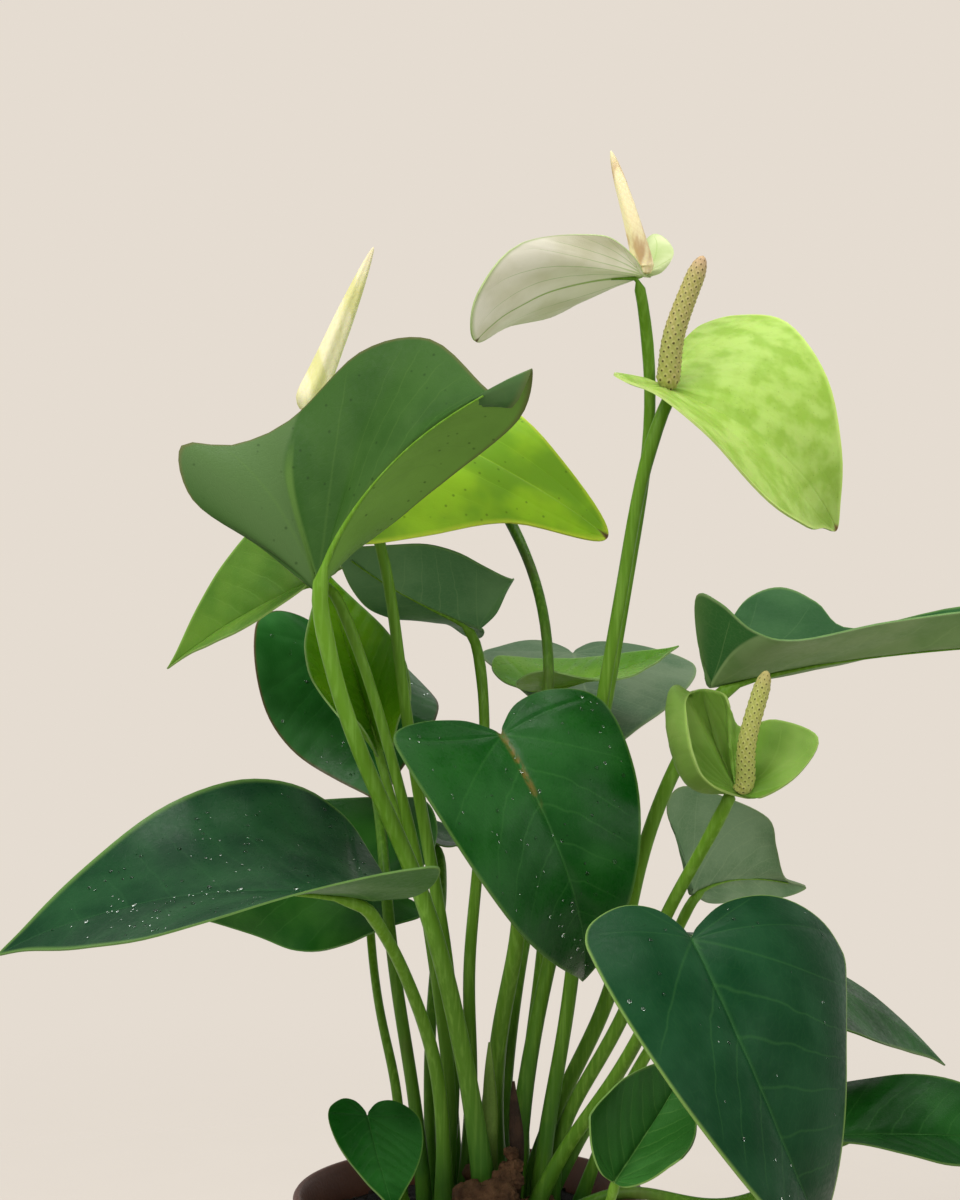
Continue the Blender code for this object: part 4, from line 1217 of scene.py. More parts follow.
@dataclass
class Drops:
    """Water drops left on the upper side of a blade."""

    name: str
    surface: Surface
    slot: str
    count: int
    smallest: float = 0.25
    largest: float = 0.8
    lift: float = 0.35

    def places(self) -> list[tuple[Vector, Vector, float]]:
        """Centre, direction and radius of each drop."""
        chance = random.Random(self.name)
        found = []
        while len(found) < self.count:
            across, along = chance.uniform(-0.45, 0.45), chance.uniform(-0.22, 0.95)
            reach = math.hypot(across, along)
            if not 0.08 < reach < 0.93 * outline_radius(math.atan2(across, along)):
                continue
            if chance.random() > noise.noise(Vector((across * 6, along * 6, 4.0))) + 0.55:
                continue
            size = self.smallest + (self.largest - self.smallest) * chance.random() ** 3
            up = self.surface.normal(across, along)
            found.append((self.surface.point(across, along) + up * self.lift, up, size))
        return found

    def build(self) -> None:
        """Model one drop, copy it to each place and put the drops in the frame."""
        deselect_all()
        bpy.ops.mesh.primitive_ico_sphere_add(subdivisions=2, radius=MM)
        bpy.ops.transform.resize(value=(1.0, 1.0, 0.45))
        bpy.ops.object.transform_apply(location=True, rotation=True, scale=True)
        piece = copy_to(new_piece(self.name), [
            (Matrix.Translation(centre * MM) @ up.to_track_quat("Z", "Y").to_matrix().to_4x4()
             @ Matrix.Scale(size, 4)) for centre, up, size in self.places()])
        shade(piece)
        dress(piece, [DropFinish().material()], self.slot)


@dataclass
class Leaf:
    """A leaf: its blade, the stalk's route and widths, and the finishes of both."""

    name: str
    blade: Surface
    route: Route
    upper: BladeFinish
    widths: tuple[float, float, float] = (6, 4.5, 3.5)
    under: BladeFinish = DARK_UNDER
    skin: StalkFinish = STALK_GREEN
    slot: str = "dark_leaf"
    drops: int = 0

    def build(self) -> None:
        """Model the leaf's blade, stalk and water drops."""
        node = f"leaf_{self.name}"
        Blade(f"{self.name}_blade", f"{node}_blade", self.blade, self.upper, self.under,
              self.slot).build()
        Stalk(f"{self.name}_stalk", f"{node}_stalk", self.route, self.widths, self.blade,
              self.skin).build()
        if self.drops:
            Drops(f"{self.name}_drops", self.blade, self.slot, self.drops).build()


class Knobs(Enum):
    """How strongly a spadix is knobbed: height as a share of its radius."""

    SMOOTH = 0.004
    FAINT = 0.02
    ROUGH = 0.09


@dataclass
class Spike:
    """A spadix: a tapering spike with small knobs in a spiral lattice."""

    name: str
    node: str
    spathe: Surface
    route: tuple[Point, Point]
    widths: tuple[float, float]
    spadix: SpikeFinish
    slot: str
    knobs: Knobs
    lanes: int = 8
    rows: float = 15.0
    rings: int = 110
    sides: int = 42
    neck: float = 0.6
    point: float = 0.82
    facets: float = 0.0

    def body(self, share: float) -> float:
        """Radius without the knobs."""
        foot, tip = (width / 2 for width in self.widths)
        beyond = max(0.0, (share - self.point) / (1 - self.point))
        rounding = math.sqrt(max(0.0, 1 - beyond ** 2))
        waist = self.neck + (1 - self.neck) * min(1.0, share / 0.06)
        return max(0.15, (foot + (tip - foot) * share) * rounding * waist)

    def knob(self, share: float, angle: float) -> float:
        """Height of the lattice of knobs, from 0 in the gaps to 1 on top."""
        first = math.cos(self.lanes * angle + math.tau * self.rows * share)
        second = math.cos(self.lanes * angle - math.tau * self.rows * share)
        return (first * 0.5 + 0.5) ** 0.7 * (second * 0.5 + 0.5) ** 0.7

    def radius(self, share: float, angle: float) -> float:
        """Radius with the knobs, in mm."""
        body = self.body(share) * (1 + self.facets * math.cos(5 * angle + 3 * share))
        return body * (1 + self.knobs.value * (self.knob(share, angle) - 0.5))

    def build(self) -> None:
        """Model the spike and put it in the frame."""
        up = self.spathe.normal(0, 0.004)
        foot = Vector(self.spathe.at) + up * 0.6
        line = smooth_line((foot, foot + up * 4, *self.route), SPAN_STEPS)
        line = even_steps(line, self.rings)
        piece = rod(self.name, line, self.radius, self.sides, start=up)
        layer = piece.data.attributes["flat"].data
        for item in layer:
            share, turn, _ = item.vector
            item.vector = (share, turn, self.knob(share, turn * math.tau))
        shade(piece)
        dress(piece, [self.spadix.material()], self.slot, self.node)


@dataclass
class Flower:
    """A flower: its spathe, its spike and the stalk that carries both."""

    name: str
    spathe: Surface
    route: Route
    widths: tuple[float, float, float]
    spike: tuple[Point, Point]
    spike_widths: tuple[float, float]
    upper: BladeFinish
    under: BladeFinish
    spadix: SpikeFinish
    spathe_slot: str
    spike_slot: str
    skin: StalkFinish = STALK_GREEN
    knobs: Knobs = Knobs.ROUGH
    facets: float = 0.0
    point: float = 0.82

    def build(self) -> None:
        """Model the flower's spathe, spike and stalk."""
        node = f"flower_{self.name}"
        Blade(f"{self.name}_spathe", f"{node}_spathe", self.spathe, self.upper, self.under,
              self.spathe_slot, quilting=0.2, groove=0.2, thickness=0.8).build()
        Spike(f"{self.name}_spike", f"{node}_spike", self.spathe, self.spike,
              self.spike_widths, self.spadix, self.spike_slot, self.knobs,
              facets=self.facets, point=self.point).build()
        Stalk(f"{self.name}_flower_stalk", f"{node}_stalk", self.route, self.widths,
              self.spathe, self.skin, rib_start=0.03, rib_end=0.15,
              rib_girth=0.5, rib_taper=6.0).build()


# --- Pot, soil and crown ----------------------------------------------------------


@dataclass
class Pot:
    """Plain tapered pot with a stepped rim and drainage holes."""

    height: float = 108.0
    foot_radius: float = 44.0
    rim_radius: float = 60.0
    rim_depth: float = 13.0
    rim_step: float = 3.0
    wall: float = 2.0
    floor: float = 3.0
    holes: int = 6
    hole_radius: float = 4.0
    hole_circle: float = 29.0
    sides: int = 128
    rounding: float = 0.45

    def inner_radius(self, height: float) -> float:
        """Radius of the inside at a height, in mm."""
        inner_foot = self.foot_radius - self.wall
        inner_rim = self.rim_radius - self.wall - self.rim_step
        return inner_foot + (inner_rim - inner_foot) * height / self.height

    def profile(self) -> list[Place]:
        """Radius and height of each ring, from the foot over the rim to the floor."""
        shoulder = self.height - self.rim_depth
        inner_shoulder = self.inner_radius(shoulder)
        inner_floor = self.inner_radius(self.floor)
        return [(self.foot_radius - 1.5, 0.0), (self.foot_radius, 1.5),
                (inner_shoulder + self.wall, shoulder),
                (self.rim_radius - 1.2, shoulder + 0.8),
                (self.rim_radius, self.height - 1.5), (self.rim_radius - 1.0, self.height),
                (self.rim_radius - self.wall - 0.4, self.height),
                (self.rim_radius - self.wall - 1.6, self.height - 2.0),
                (inner_shoulder, shoulder), (inner_floor + 1.2, self.floor + 1.2),
                (inner_floor, self.floor)]

    def build(self) -> None:
        """Model the pot ring by ring and put it in the frame."""
        (radius, height), *others = self.profile()
        deselect_all()
        bpy.ops.mesh.primitive_circle_add(vertices=self.sides, radius=radius * MM,
                                          fill_type="NGON")
        piece = new_piece("pot_shell")
        bpy.ops.object.mode_set(mode="EDIT")
        for next_radius, next_height in others:
            rise = (0.0, 0.0, (next_height - height) * MM)
            share = next_radius / radius
            bpy.ops.mesh.extrude_region_move(TRANSFORM_OT_translate={"value": rise})
            bpy.ops.transform.resize(value=(share, share, 1.0),
                                     center_override=(0.0, 0.0, next_height * MM))
            radius, height = next_radius, next_height
        bpy.ops.mesh.select_all(action="SELECT")
        bpy.ops.mesh.normals_make_consistent(inside=False)
        bpy.ops.object.mode_set(mode="OBJECT")
        self.round_edges(piece)
        self.cut_holes(piece)
        shade(piece, 35.0)
        dress(piece, [CLAY.material()], "pot", "pot")

    def round_edges(self, piece: bpy.types.Object) -> None:
        """Round the pot's sharper edges."""
        rounding = piece.modifiers.new("rounding", "BEVEL")
        rounding.width = self.rounding * MM
        rounding.segments = 3
        rounding.angle_limit = math.radians(25)
        apply_modifiers(piece)

    def cut_holes(self, piece: bpy.types.Object) -> None:
        """Cut the drainage holes through the floor."""
        cutters = []
        for i in range(self.holes):
            angle = math.tau * i / self.holes
            deselect_all()
            bpy.ops.mesh.primitive_cylinder_add(
                vertices=32, radius=self.hole_radius * MM, depth=4 * self.floor * MM,
                location=(self.hole_circle * MM * math.cos(angle),
                          self.hole_circle * MM * math.sin(angle), 0))
            cutters.append(new_piece(f"drain_cutter_{i}"))
            cut = piece.modifiers.new(f"drain_{i}", "BOOLEAN")
            cut.operation = "DIFFERENCE"
            cut.solver = "EXACT"
            cut.object = cutters[-1]
        apply_modifiers(piece)
        for cutter in cutters:
            bpy.data.objects.remove(cutter)


@dataclass
class Soil:
    """Root ball with a lumpy surface and loose crumbs of peat and bark."""

    pot: Pot
    top: float = SOIL_TOP
    shoulder_radius: float = 40.0
    edge_drop: float = 4.0
    lump: float = 1.6
    crumbs: int = 260
    segments: int = 160
    rings: int = 96
    top_share: float = 0.75
    wall_share: float = 0.20

    @property
    def outer(self) -> float:
        """Radius of the soil's top, just clear of the pot."""
        return self.pot.inner_radius(self.top - self.edge_drop) - 0.6

    def surface_height(self, x: float, y: float) -> float:
        """Height of the soil at a place."""
        radius = math.hypot(x, y)
        share = max(0.0, (radius - self.shoulder_radius) / (self.outer - self.shoulder_radius))
        lumps = (noise.noise(Vector((x / 7, y / 7, 1.0)))
                 + 0.5 * noise.noise(Vector((x / 2.6, y / 2.6, 5.0))))
        return self.top - self.edge_drop * share + (lumps - 0.7) * self.lump

    def build(self) -> None:
        """Model the root ball and its crumbs and put them in the frame."""
        deselect_all()
        bpy.ops.mesh.primitive_uv_sphere_add(segments=self.segments,
                                             ring_count=self.rings, radius=1)
        piece = new_piece("soil_ball")
        base = self.pot.floor + CAD_GAP + 0.1
        wall_end = self.top_share + self.wall_share
        for vertex in piece.data.vertices:
            tilt = math.acos(max(-1.0, min(1.0, vertex.co.z))) / math.pi
            angle = math.atan2(vertex.co.y, vertex.co.x)
            if tilt <= self.top_share:
                radius, height = self.outer * tilt / self.top_share, None
            else:
                rise = self.top - self.edge_drop - base
                height = base + rise * max(0.0, (wall_end - tilt) / self.wall_share)
                radius = self.pot.inner_radius(height) - 1.0
                radius *= min(1.0, (1 - tilt) / (1 - wall_end))
            x, y = radius * math.cos(angle), radius * math.sin(angle)
            z = self.surface_height(x, y) if height is None else height
            vertex.co = Vector((x, y, z)) * MM
        shade(piece, 80.0)
        dress(piece, [PEAT.material()], "soil", "soil")
        self.build_crumbs()

    def build_crumbs(self) -> None:
        """Model one crumb and copy it over the surface."""
        deselect_all()
        bpy.ops.mesh.primitive_ico_sphere_add(subdivisions=1, radius=MM)
        crumb = new_piece("soil_crumbs")
        for vertex in crumb.data.vertices:
            vertex.co *= 1 + 0.35 * noise.noise(vertex.co * 2500)
        chance = random.Random(11)
        moves = []
        for _ in range(self.crumbs):
            radius = (self.pot.inner_radius(self.top) - 4.0) * math.sqrt(chance.random())
            angle = chance.uniform(0, math.tau)
            x, y = radius * math.cos(angle), radius * math.sin(angle)
            size = 0.5 + 1.7 * chance.random() ** 3
            turn = Euler([chance.uniform(0, math.tau) for _ in range(3)])
            stretch = Matrix.Diagonal((size, size * chance.uniform(0.5, 1.0),
                                       size * chance.uniform(0.4, 0.8), 1.0))
            spot = Vector((x, y, self.surface_height(x, y) + 0.1 * size)) * MM
            moves.append(Matrix.Translation(spot) @ turn.to_matrix().to_4x4() @ stretch)
        piece = copy_to(crumb, moves)
        shade(piece, 30.0)
        dress(piece, [CRUMB.material()], "soil")


@dataclass
class Crown:
    """Short rough stump that the stalks crowd round."""

    centre: Place = (1.5, -3.0)
    radius: float = 4.5
    height: float = 17.0
    sunk: float = 2.0
    rings: int = 40

    def girth(self, share: float, angle: float) -> float:
        """Radius in mm, with scars and knots."""
        body = self.radius * (1.0 - 0.35 * share ** 2)
        ledges = 0.16 * math.cos(math.tau * 3.5 * share + 0.8 * math.sin(angle))
        knots = 0.30 * noise.noise(Vector((math.cos(angle) * 1.8, math.sin(angle) * 1.8,
                                           share * 5)))
        return body * (1 + ledges + knots) * (1 if share < 1 else 0.6)

    def build(self) -> None:
        """Model the stump and put it in the frame."""
        x, y = self.centre
        step = (self.height + self.sunk) / (self.rings - 1)
        line = [Vector((x, y, SOIL_TOP - self.sunk + step * i)) for i in range(self.rings)]
        piece = rod("crown_stump", line, self.girth, self.rings, start=UPWARDS)
        shade(piece, 80.0)
        dress(piece, [STUMP.material()], "crown", "crown")


@dataclass
class Rootstock:
    """Woody brown lumps of the old rootstock that the outer stalks stand in."""

    lumps: tuple[tuple[float, float, float, float], ...] = (
        (2.0, -25.0, 112.0, 7.5), (9.0, -26.0, 113.0, 7.5), (13.0, -22.0, 118.0, 5.0),
        (14.5, -19.0, 121.0, 3.6), (14.5, -18.0, 126.0, 2.6), (-4.0, -20.0, 104.0, 5.0),
        (16.0, -21.0, 107.0, 5.5), (27.0, -21.0, 104.0, 6.0), (33.0, -17.0, 102.0, 5.0),
        (6.0, -27.0, 105.0, 6.0), (24.0, -4.0, 103.0, 6.0), (-12.0, -13.0, 102.0, 5.0),
    )

    def build(self) -> None:
        """Model one lump, copy it to each place, roughen them and put them in the frame."""
        deselect_all()
        bpy.ops.mesh.primitive_ico_sphere_add(subdivisions=5, radius=MM)
        lump = new_piece("rootstock")
        moves = [Matrix.Translation(Vector((x, y, z)) * MM)
                 @ Matrix.Diagonal((size, size, size * 0.8, 1.0))
                 for x, y, z, size in self.lumps]
        piece = copy_to(lump, moves)
        raised = []
        for vertex in piece.data.vertices:
            spot = vertex.co / MM
            rough = (1.5 * noise.noise(spot / 3.2) + 0.7 * noise.noise(spot / 1.1)
                     + 0.35 * noise.noise(spot / 0.45))
            raised.append(vertex.co + vertex.normal * rough * MM)
        for vertex, co in zip(piece.data.vertices, raised):
            vertex.co = co
        shade(piece, 80.0)
        dress(piece, [STUMP.material()], "crown")


@dataclass
class Sheath:
    """Thin old sheath that stands at the foot of a stalk and comes to a point."""

    name: str
    route: Route
    widths: tuple[float, float, float]
    finish: GroundFinish
    slot: str
    rings: int = 40
    sides: int = 33

    def girth(self, share: float, angle: float) -> float:
        """Radius in mm, ribbed and pinched."""
        foot, middle, top = (width / 2 for width in self.widths)
        body = foot + (middle - foot) * min(1.0, share * 2)
        if share > 0.6:
            body = middle + (top * 0.4 - middle) * ((share - 0.6) / 0.4) ** 1.5
        return body * (1 + 0.14 * math.cos(3 * angle + 6 * share) + 0.05 * math.cos(11 * angle))

    def build(self) -> None:
        """Model the sheath and put it in the frame."""
        (x, y), *others = self.route
        line = smooth_line([(x, y, SOIL_TOP), *others], SPAN_STEPS)
        piece = rod(f"{self.name}_sheath", even_steps(line, self.rings), self.girth,
                    self.sides, start=UPWARDS)
        shade(piece, 80.0)
        dress(piece, [self.finish.material()], self.slot, f"sheath_{self.name}")


# --- The plant -------------------------------------------------------------------

LEAVES: tuple[Leaf, ...] = (
    Leaf("hood",
         Shaped(at=(-48, -45, 316), spokes=(
             ((0, 1.0), (-24, -56, 357), (20, -72, 386)),
             ((0.045, 0.90), (-24, -54, 362), (14, -65, 375)),
             ((0.15, 0.74), (-26, -50, 367), (6, -58, 380)),
             ((0.30, 0.52), (-31, -43, 369), (-12, -42, 396)),
             ((0.42, 0.28), (-41, -40, 361), (-35, -34, 392)),
             ((0.47, 0.04), (-55, -38, 351), (-58, -30, 370)),
             ((0.45, -0.07), (-61, -42, 346), (-76, -35, 362)),
             ((0.42, -0.17), (-67, -45, 342), (-92, -40, 362)),
             ((0.27, -0.28), (-67, -46, 333), (-88, -44, 345)),
             ((0.12, -0.24), (-58, -45, 325), (-68, -44, 331)),
             ((0, -0.02), (-48, -44, 316), (-49, -44, 316)),
             ((-0.27, -0.28), (-48, -38, 319), (-49, -32, 322)),
             ((-0.47, 0.04), (-40, -38, 325), (-33, -30, 331)),
             ((-0.30, 0.52), (-25, -45, 347), (-5, -40, 353)),
             ((-0.15, 0.74), (-22, -52, 355), (16, -56, 371)))),
         route=((7, -16), (0, -19, 153), (-5, -24, 174), (-8, -28, 193),
                (-18, -34, 226), (-29, -38, 248), (-40, -42, 274), (-46, -45, 297)),
         widths=(10, 6.5, 5),
         upper=HOOD_UPPER, under=HOOD_UNDER, skin=STALK_BRIGHT, slot="mid_leaf"),
    Leaf("lime_left",
         Bent(at=(-46, -4, 319), heading=164, elevation=-21, roll=30,
              length=69, width=0.47, droop=25, lift=10, fold=(25, 35), curl=(0, 0),
              twist=20, lobe=0.45, uneven=1.04, ruffle=(-2, -65)),
         route=((-8, -3), (-5, -5, 136), (-9, -8, 171), (-12, -10, 190), (-16, -10, 222),
                (-24, -9, 249), (-27, -8, 263), (-35, -6, 290), (-41, -5, 307)),
         upper=LIME_UPPER, under=LIME_UNDER, slot="lime_leaf"),
    Leaf("upper_back",
         Bent(at=(3, 34, 298), heading=-161, elevation=19, roll=-17,
              length=60, width=0.49, droop=-25, lift=35, fold=(45, 10), curl=(-20, -5),
              lobe=0.4, uneven=1.04, opening=0.5, ruffle=(-7, 5)),
         route=((-2, 9), (2, 9, 150), (-2, 10, 175), (0, 12, 192), (3, 14, 211),
                (6, 22, 267), (6, 28, 282)),
         upper=SLATE_UPPER, under=SLATE_UNDER, slot="grey_leaf"),
    Leaf("front_centre",
         Bent(at=(11, -32, 268), heading=-50, elevation=-43, roll=-29,
              length=105, width=0.40, droop=100, lift=-10, fold=(5, 15), curl=(-35, 25),
              twist=-10, lobe=0.35, uneven=1.05, opening=-0.7),
         route=((10, 5), (8, 4, 134), (9, 3, 150), (10, 0, 167), (16, -6, 189),
                (18, -12, 210), (15, -18, 245)),
         widths=(9, 6.5, 4.5),
         upper=STAINED_DARK, drops=110),
    Leaf("right_folded",
         Shaped(at=(83, 18, 279), spokes=(
             ((0, 1.0), (140, 5, 291), (220, -11, 298)),
             ((0.15, 0.74), (130, 2, 292), (186, -14, 308)),
             ((0.30, 0.52), (115, -1, 291), (140, -17, 304)),
             ((0.42, 0.28), (98, 0, 289), (109, -17, 298)),
             ((0.47, 0.04), (89, 3, 290), (95, -10, 300)),
             ((0.42, -0.17), (84, 8, 292), (84, -4, 309)),
             ((0.27, -0.28), (80, 12, 293), (77, 5, 311)),
             ((0.12, -0.24), (81, 16, 286), (78, 14, 295)),
             ((0, -0.02), (83, 18, 279), (82, 18, 280)),
             ((-0.12, -0.24), (84, 24, 283), (86, 30, 289)),
             ((-0.27, -0.28), (87, 35, 288), (91, 50, 296)),
             ((-0.42, -0.17), (94, 45, 292), (100, 70, 305)),
             ((-0.47, 0.04), (102, 48, 293), (113, 78, 309)),
             ((-0.42, 0.28), (111, 44, 292), (125, 70, 304)),
             ((-0.30, 0.52), (121, 35, 289), (136, 50, 296)),
             ((-0.15, 0.74), (141, 19, 290), (176, 17, 307)))),
         route=((19, 6), (25, 6, 125), (32, 7, 141), (38, 8, 153), (49, 9, 170),
                (55, 10, 206), (61, 10, 232), (66, 10, 244), (75, 12, 262)),
         widths=(8, 5.5, 5),
         upper=FOLDED_UPPER, under=FOLDED_UNDER),
    Leaf("right_back",
         Shaped(at=(79, 50, 202), spokes=(
             ((0, 1.0), (101, 80, 202), (127, 112, 193)),
             ((0.15, 0.74), (99, 72, 207), (117, 92, 200)),
             ((0.30, 0.52), (97, 66, 215), (112, 76, 214)),
             ((0.42, 0.28), (92, 60, 220), (108, 66, 226)),
             ((0.47, 0.04), (84, 54, 223), (92, 56, 235)),
             ((0.42, -0.17), (78, 50, 222), (76, 50, 240)),
             ((0.27, -0.28), (76, 47, 215), (70, 46, 233)),
             ((0.12, -0.24), (78, 47, 209), (74, 46, 220)),
             ((0, -0.02), (79, 50, 202), (78, 50, 202)),
             ((-0.27, -0.28), (79, 52, 203), (79, 54, 205)),
             ((-0.47, 0.04), (83, 56, 199), (86, 62, 196)),
             ((-0.30, 0.52), (92, 70, 198), (104, 88, 193)),
             ((-0.15, 0.74), (97, 78, 199), (118, 102, 191)))),
         route=((27, 12), (39, 16, 123), (47, 24, 134), (55, 32, 144), (66, 44, 166),
                (74, 51, 190)),
         upper=GREY_UPPER, under=GREY_UNDER, slot="grey_leaf"),
    Leaf("front_right",
         Bent(at=(70, -75, 209), heading=-63, elevation=-42, roll=-32,
              length=136, width=0.38, droop=110, lift=5, fold=(-20, 50), curl=(-40, -45),
              twist=10, lobe=0.35, uneven=0.75, opening=-0.2),
         route=((20, -14), (28, -15, 120), (36, -18, 134), (46, -24, 148),
                (55, -34, 167), (62, -46, 185)),
         widths=(7.5, 5, 4),
         upper=BLUE_DARK, drops=45),
    Leaf("front_left",
         Bent(at=(-31, -53, 218), heading=-165, elevation=12, roll=35,
              length=125, width=0.53, droop=50, lift=5, fold=(50, -35), curl=(10, 25),
              twist=15, lobe=0.35, uneven=1.17, opening=0.7),
         route=((-8, -13), (-9, -15, 143), (-13, -19, 166), (-18, -22, 179),
                (-24, -32, 197)),
         widths=(9, 5, 4),
         upper=WET_DARK, skin=STALK_BRIGHT, drops=260),
    Leaf("left_under",
         Bent(at=(-34, 38, 206), heading=164, elevation=1, roll=55,
              length=100, width=0.31, droop=32, lift=15, fold=(10, 5), curl=(-3, -5),
              twist=35, lobe=0.79, uneven=1.2, ruffle=(-10, -125)),
         route=((-23, -2), (-24, 6, 139), (-31, 23, 163), (-35, 41, 188)),
         widths=(5.5, 3.5, 3),
         upper=YOUNG_DEEP, under=YOUNG_UNDER, slot="young_leaf"),
    Leaf("left_back",
         Bent(at=(-10, 76, 216), heading=165, elevation=16, roll=-9,
              length=62, width=0.32, droop=20, lift=10, fold=(10, 5), curl=(-10, 5),
              twist=5, lobe=0.5, ruffle=(-4, 60)),
         route=((-13, 14), (-14, 20, 145), (-12, 38, 180), (-9, 64, 205)),
         widths=(6, 4, 3.5),
         upper=SATIN_DARK, skin=STALK_DEEP),
    Leaf("dark_left",
         Bent(at=(-48, 65, 288), heading=-63, elevation=-50, roll=34,
              length=67, width=0.56, droop=5, lift=-5, fold=(20, -25), curl=(-15, -15),
              twist=-25, lobe=0.8, uneven=0.93, opening=-0.8, ruffle=(-5, -5)),
         route=((-15, -2), (-17, -1, 135), (-20, -1, 150), (-26, 1, 186), (-29, 13, 215),
                (-31, 34, 236), (-34, 46, 248), (-44, 65, 272)),
         upper=RED_EDGED, skin=STALK_DEEP, drops=70),
    Leaf("young_left",
         Bent(at=(-33, 30, 261), heading=127, elevation=60, roll=32,
              length=64, width=0.45, droop=-5, lift=30, fold=(60, 60), curl=(15, 0),
              uneven=0.93, opening=0.8, ruffle=(-2, -45)),
         route=((-4, 18), (-7, 18, 156), (-15, 19, 204), (-27, 21, 239)),
         widths=(5.5, 3.5, 3),
         upper=YOUNG_UPPER, under=YOUNG_UNDER, slot="young_leaf"),
    Leaf("back_centre",
         Bent(at=(38, 88, 284), heading=-81, elevation=-22, roll=1,
              length=67, width=0.59, droop=0, lift=-10, fold=(-5, 0), curl=(0, -5),
              twist=5, lobe=0.72, uneven=0.86, ruffle=(-3, 80)),
         route=((11, 15), (12, 19, 135), (18, 32, 182), (27, 52, 219), (35, 75, 256)),
         upper=GREY_UPPER, under=GREY_UNDER, skin=STALK_DEEP, slot="grey_leaf"),
    Leaf("young_centre",
         Bent(at=(24, 36, 276), heading=18, elevation=6, roll=-11,
              length=54, width=0.50, droop=-5, lift=15, fold=(10, 25), curl=(0, 5),
              lobe=0.83, opening=0.7, ruffle=(-3, -75)),
         route=((19, 15), (18, 18, 135), (21, 20, 152), (26, 23, 193), (28, 27, 237)),
         widths=(6, 4, 3.2),
         upper=YOUNG_UPPER, under=YOUNG_UNDER, slot="young_leaf"),
    Leaf("right_low",
         Bent(at=(83, 4, 192), heading=26, elevation=-15, roll=-15,
              length=118, width=0.34, droop=20, lift=10, fold=(-10, -5), curl=(-15, -5),
              twist=-15, lobe=0.35, ruffle=(2, -125)),
         route=((37, 1), (48, -1, 132), (62, -2, 159), (76, 1, 178)),
         upper=SATIN_DARK),
    Leaf("right_lowest",
         Bent(at=(124, -7, 129), heading=3, elevation=2, roll=8,
              length=74, width=0.44, droop=15, lift=10, fold=(45, 0), curl=(-30, -5),
              twist=-10, opening=-0.2, ruffle=(-4, -10)),
         route=((32, -8), (50, -14, 113), (62, -17, 112), (76, -19, 108), (89, -20, 108),
                (102, -17, 113), (113, -11, 119)),
         upper=SATIN_DARK, skin=STALK_DEEP),
    Leaf("small_right",
         Bent(at=(46, -77, 133), heading=63, elevation=20, roll=-26,
              length=64, width=0.41, droop=-10, lift=20, fold=(35, 40), curl=(40, 20),
              lobe=0.35, opening=0.2, ruffle=(-4, -45)),
         route=((33, -19), (40, -42, 115), (44, -64, 119)),
         widths=(5, 3.5, 3),
         upper=MID_UPPER, under=MID_UNDER, skin=STALK_BRIGHT, slot="mid_leaf"),
    Leaf("small_left",
         Bent(at=(-32, -60, 149), heading=-77, elevation=-31, roll=7,
              length=46, width=0.33, droop=-10, lift=0, fold=(-5, 0), curl=(0, -15),
              lobe=0.6, uneven=0.85),
         route=((-19, -12), (-28, -30, 130), (-31, -45, 144)),
         widths=(5, 3.5, 2.8),
         upper=SATIN_DARK),
    Leaf("hidden_back",
         Bent(at=(10, 52, 346), heading=165, elevation=0, roll=0,
              length=78, width=0.38, droop=15, lift=10, fold=(0, 5), curl=(-5, -5),
              lobe=0.35),
         route=((4, 17), (5, 18, 134), (11, 17, 162), (19, 14, 202), (25, 6, 250),
                (28, 3, 274), (29, 5, 294), (21, 37, 326)),
         upper=SATIN_DARK, skin=STALK_DEEP),
)

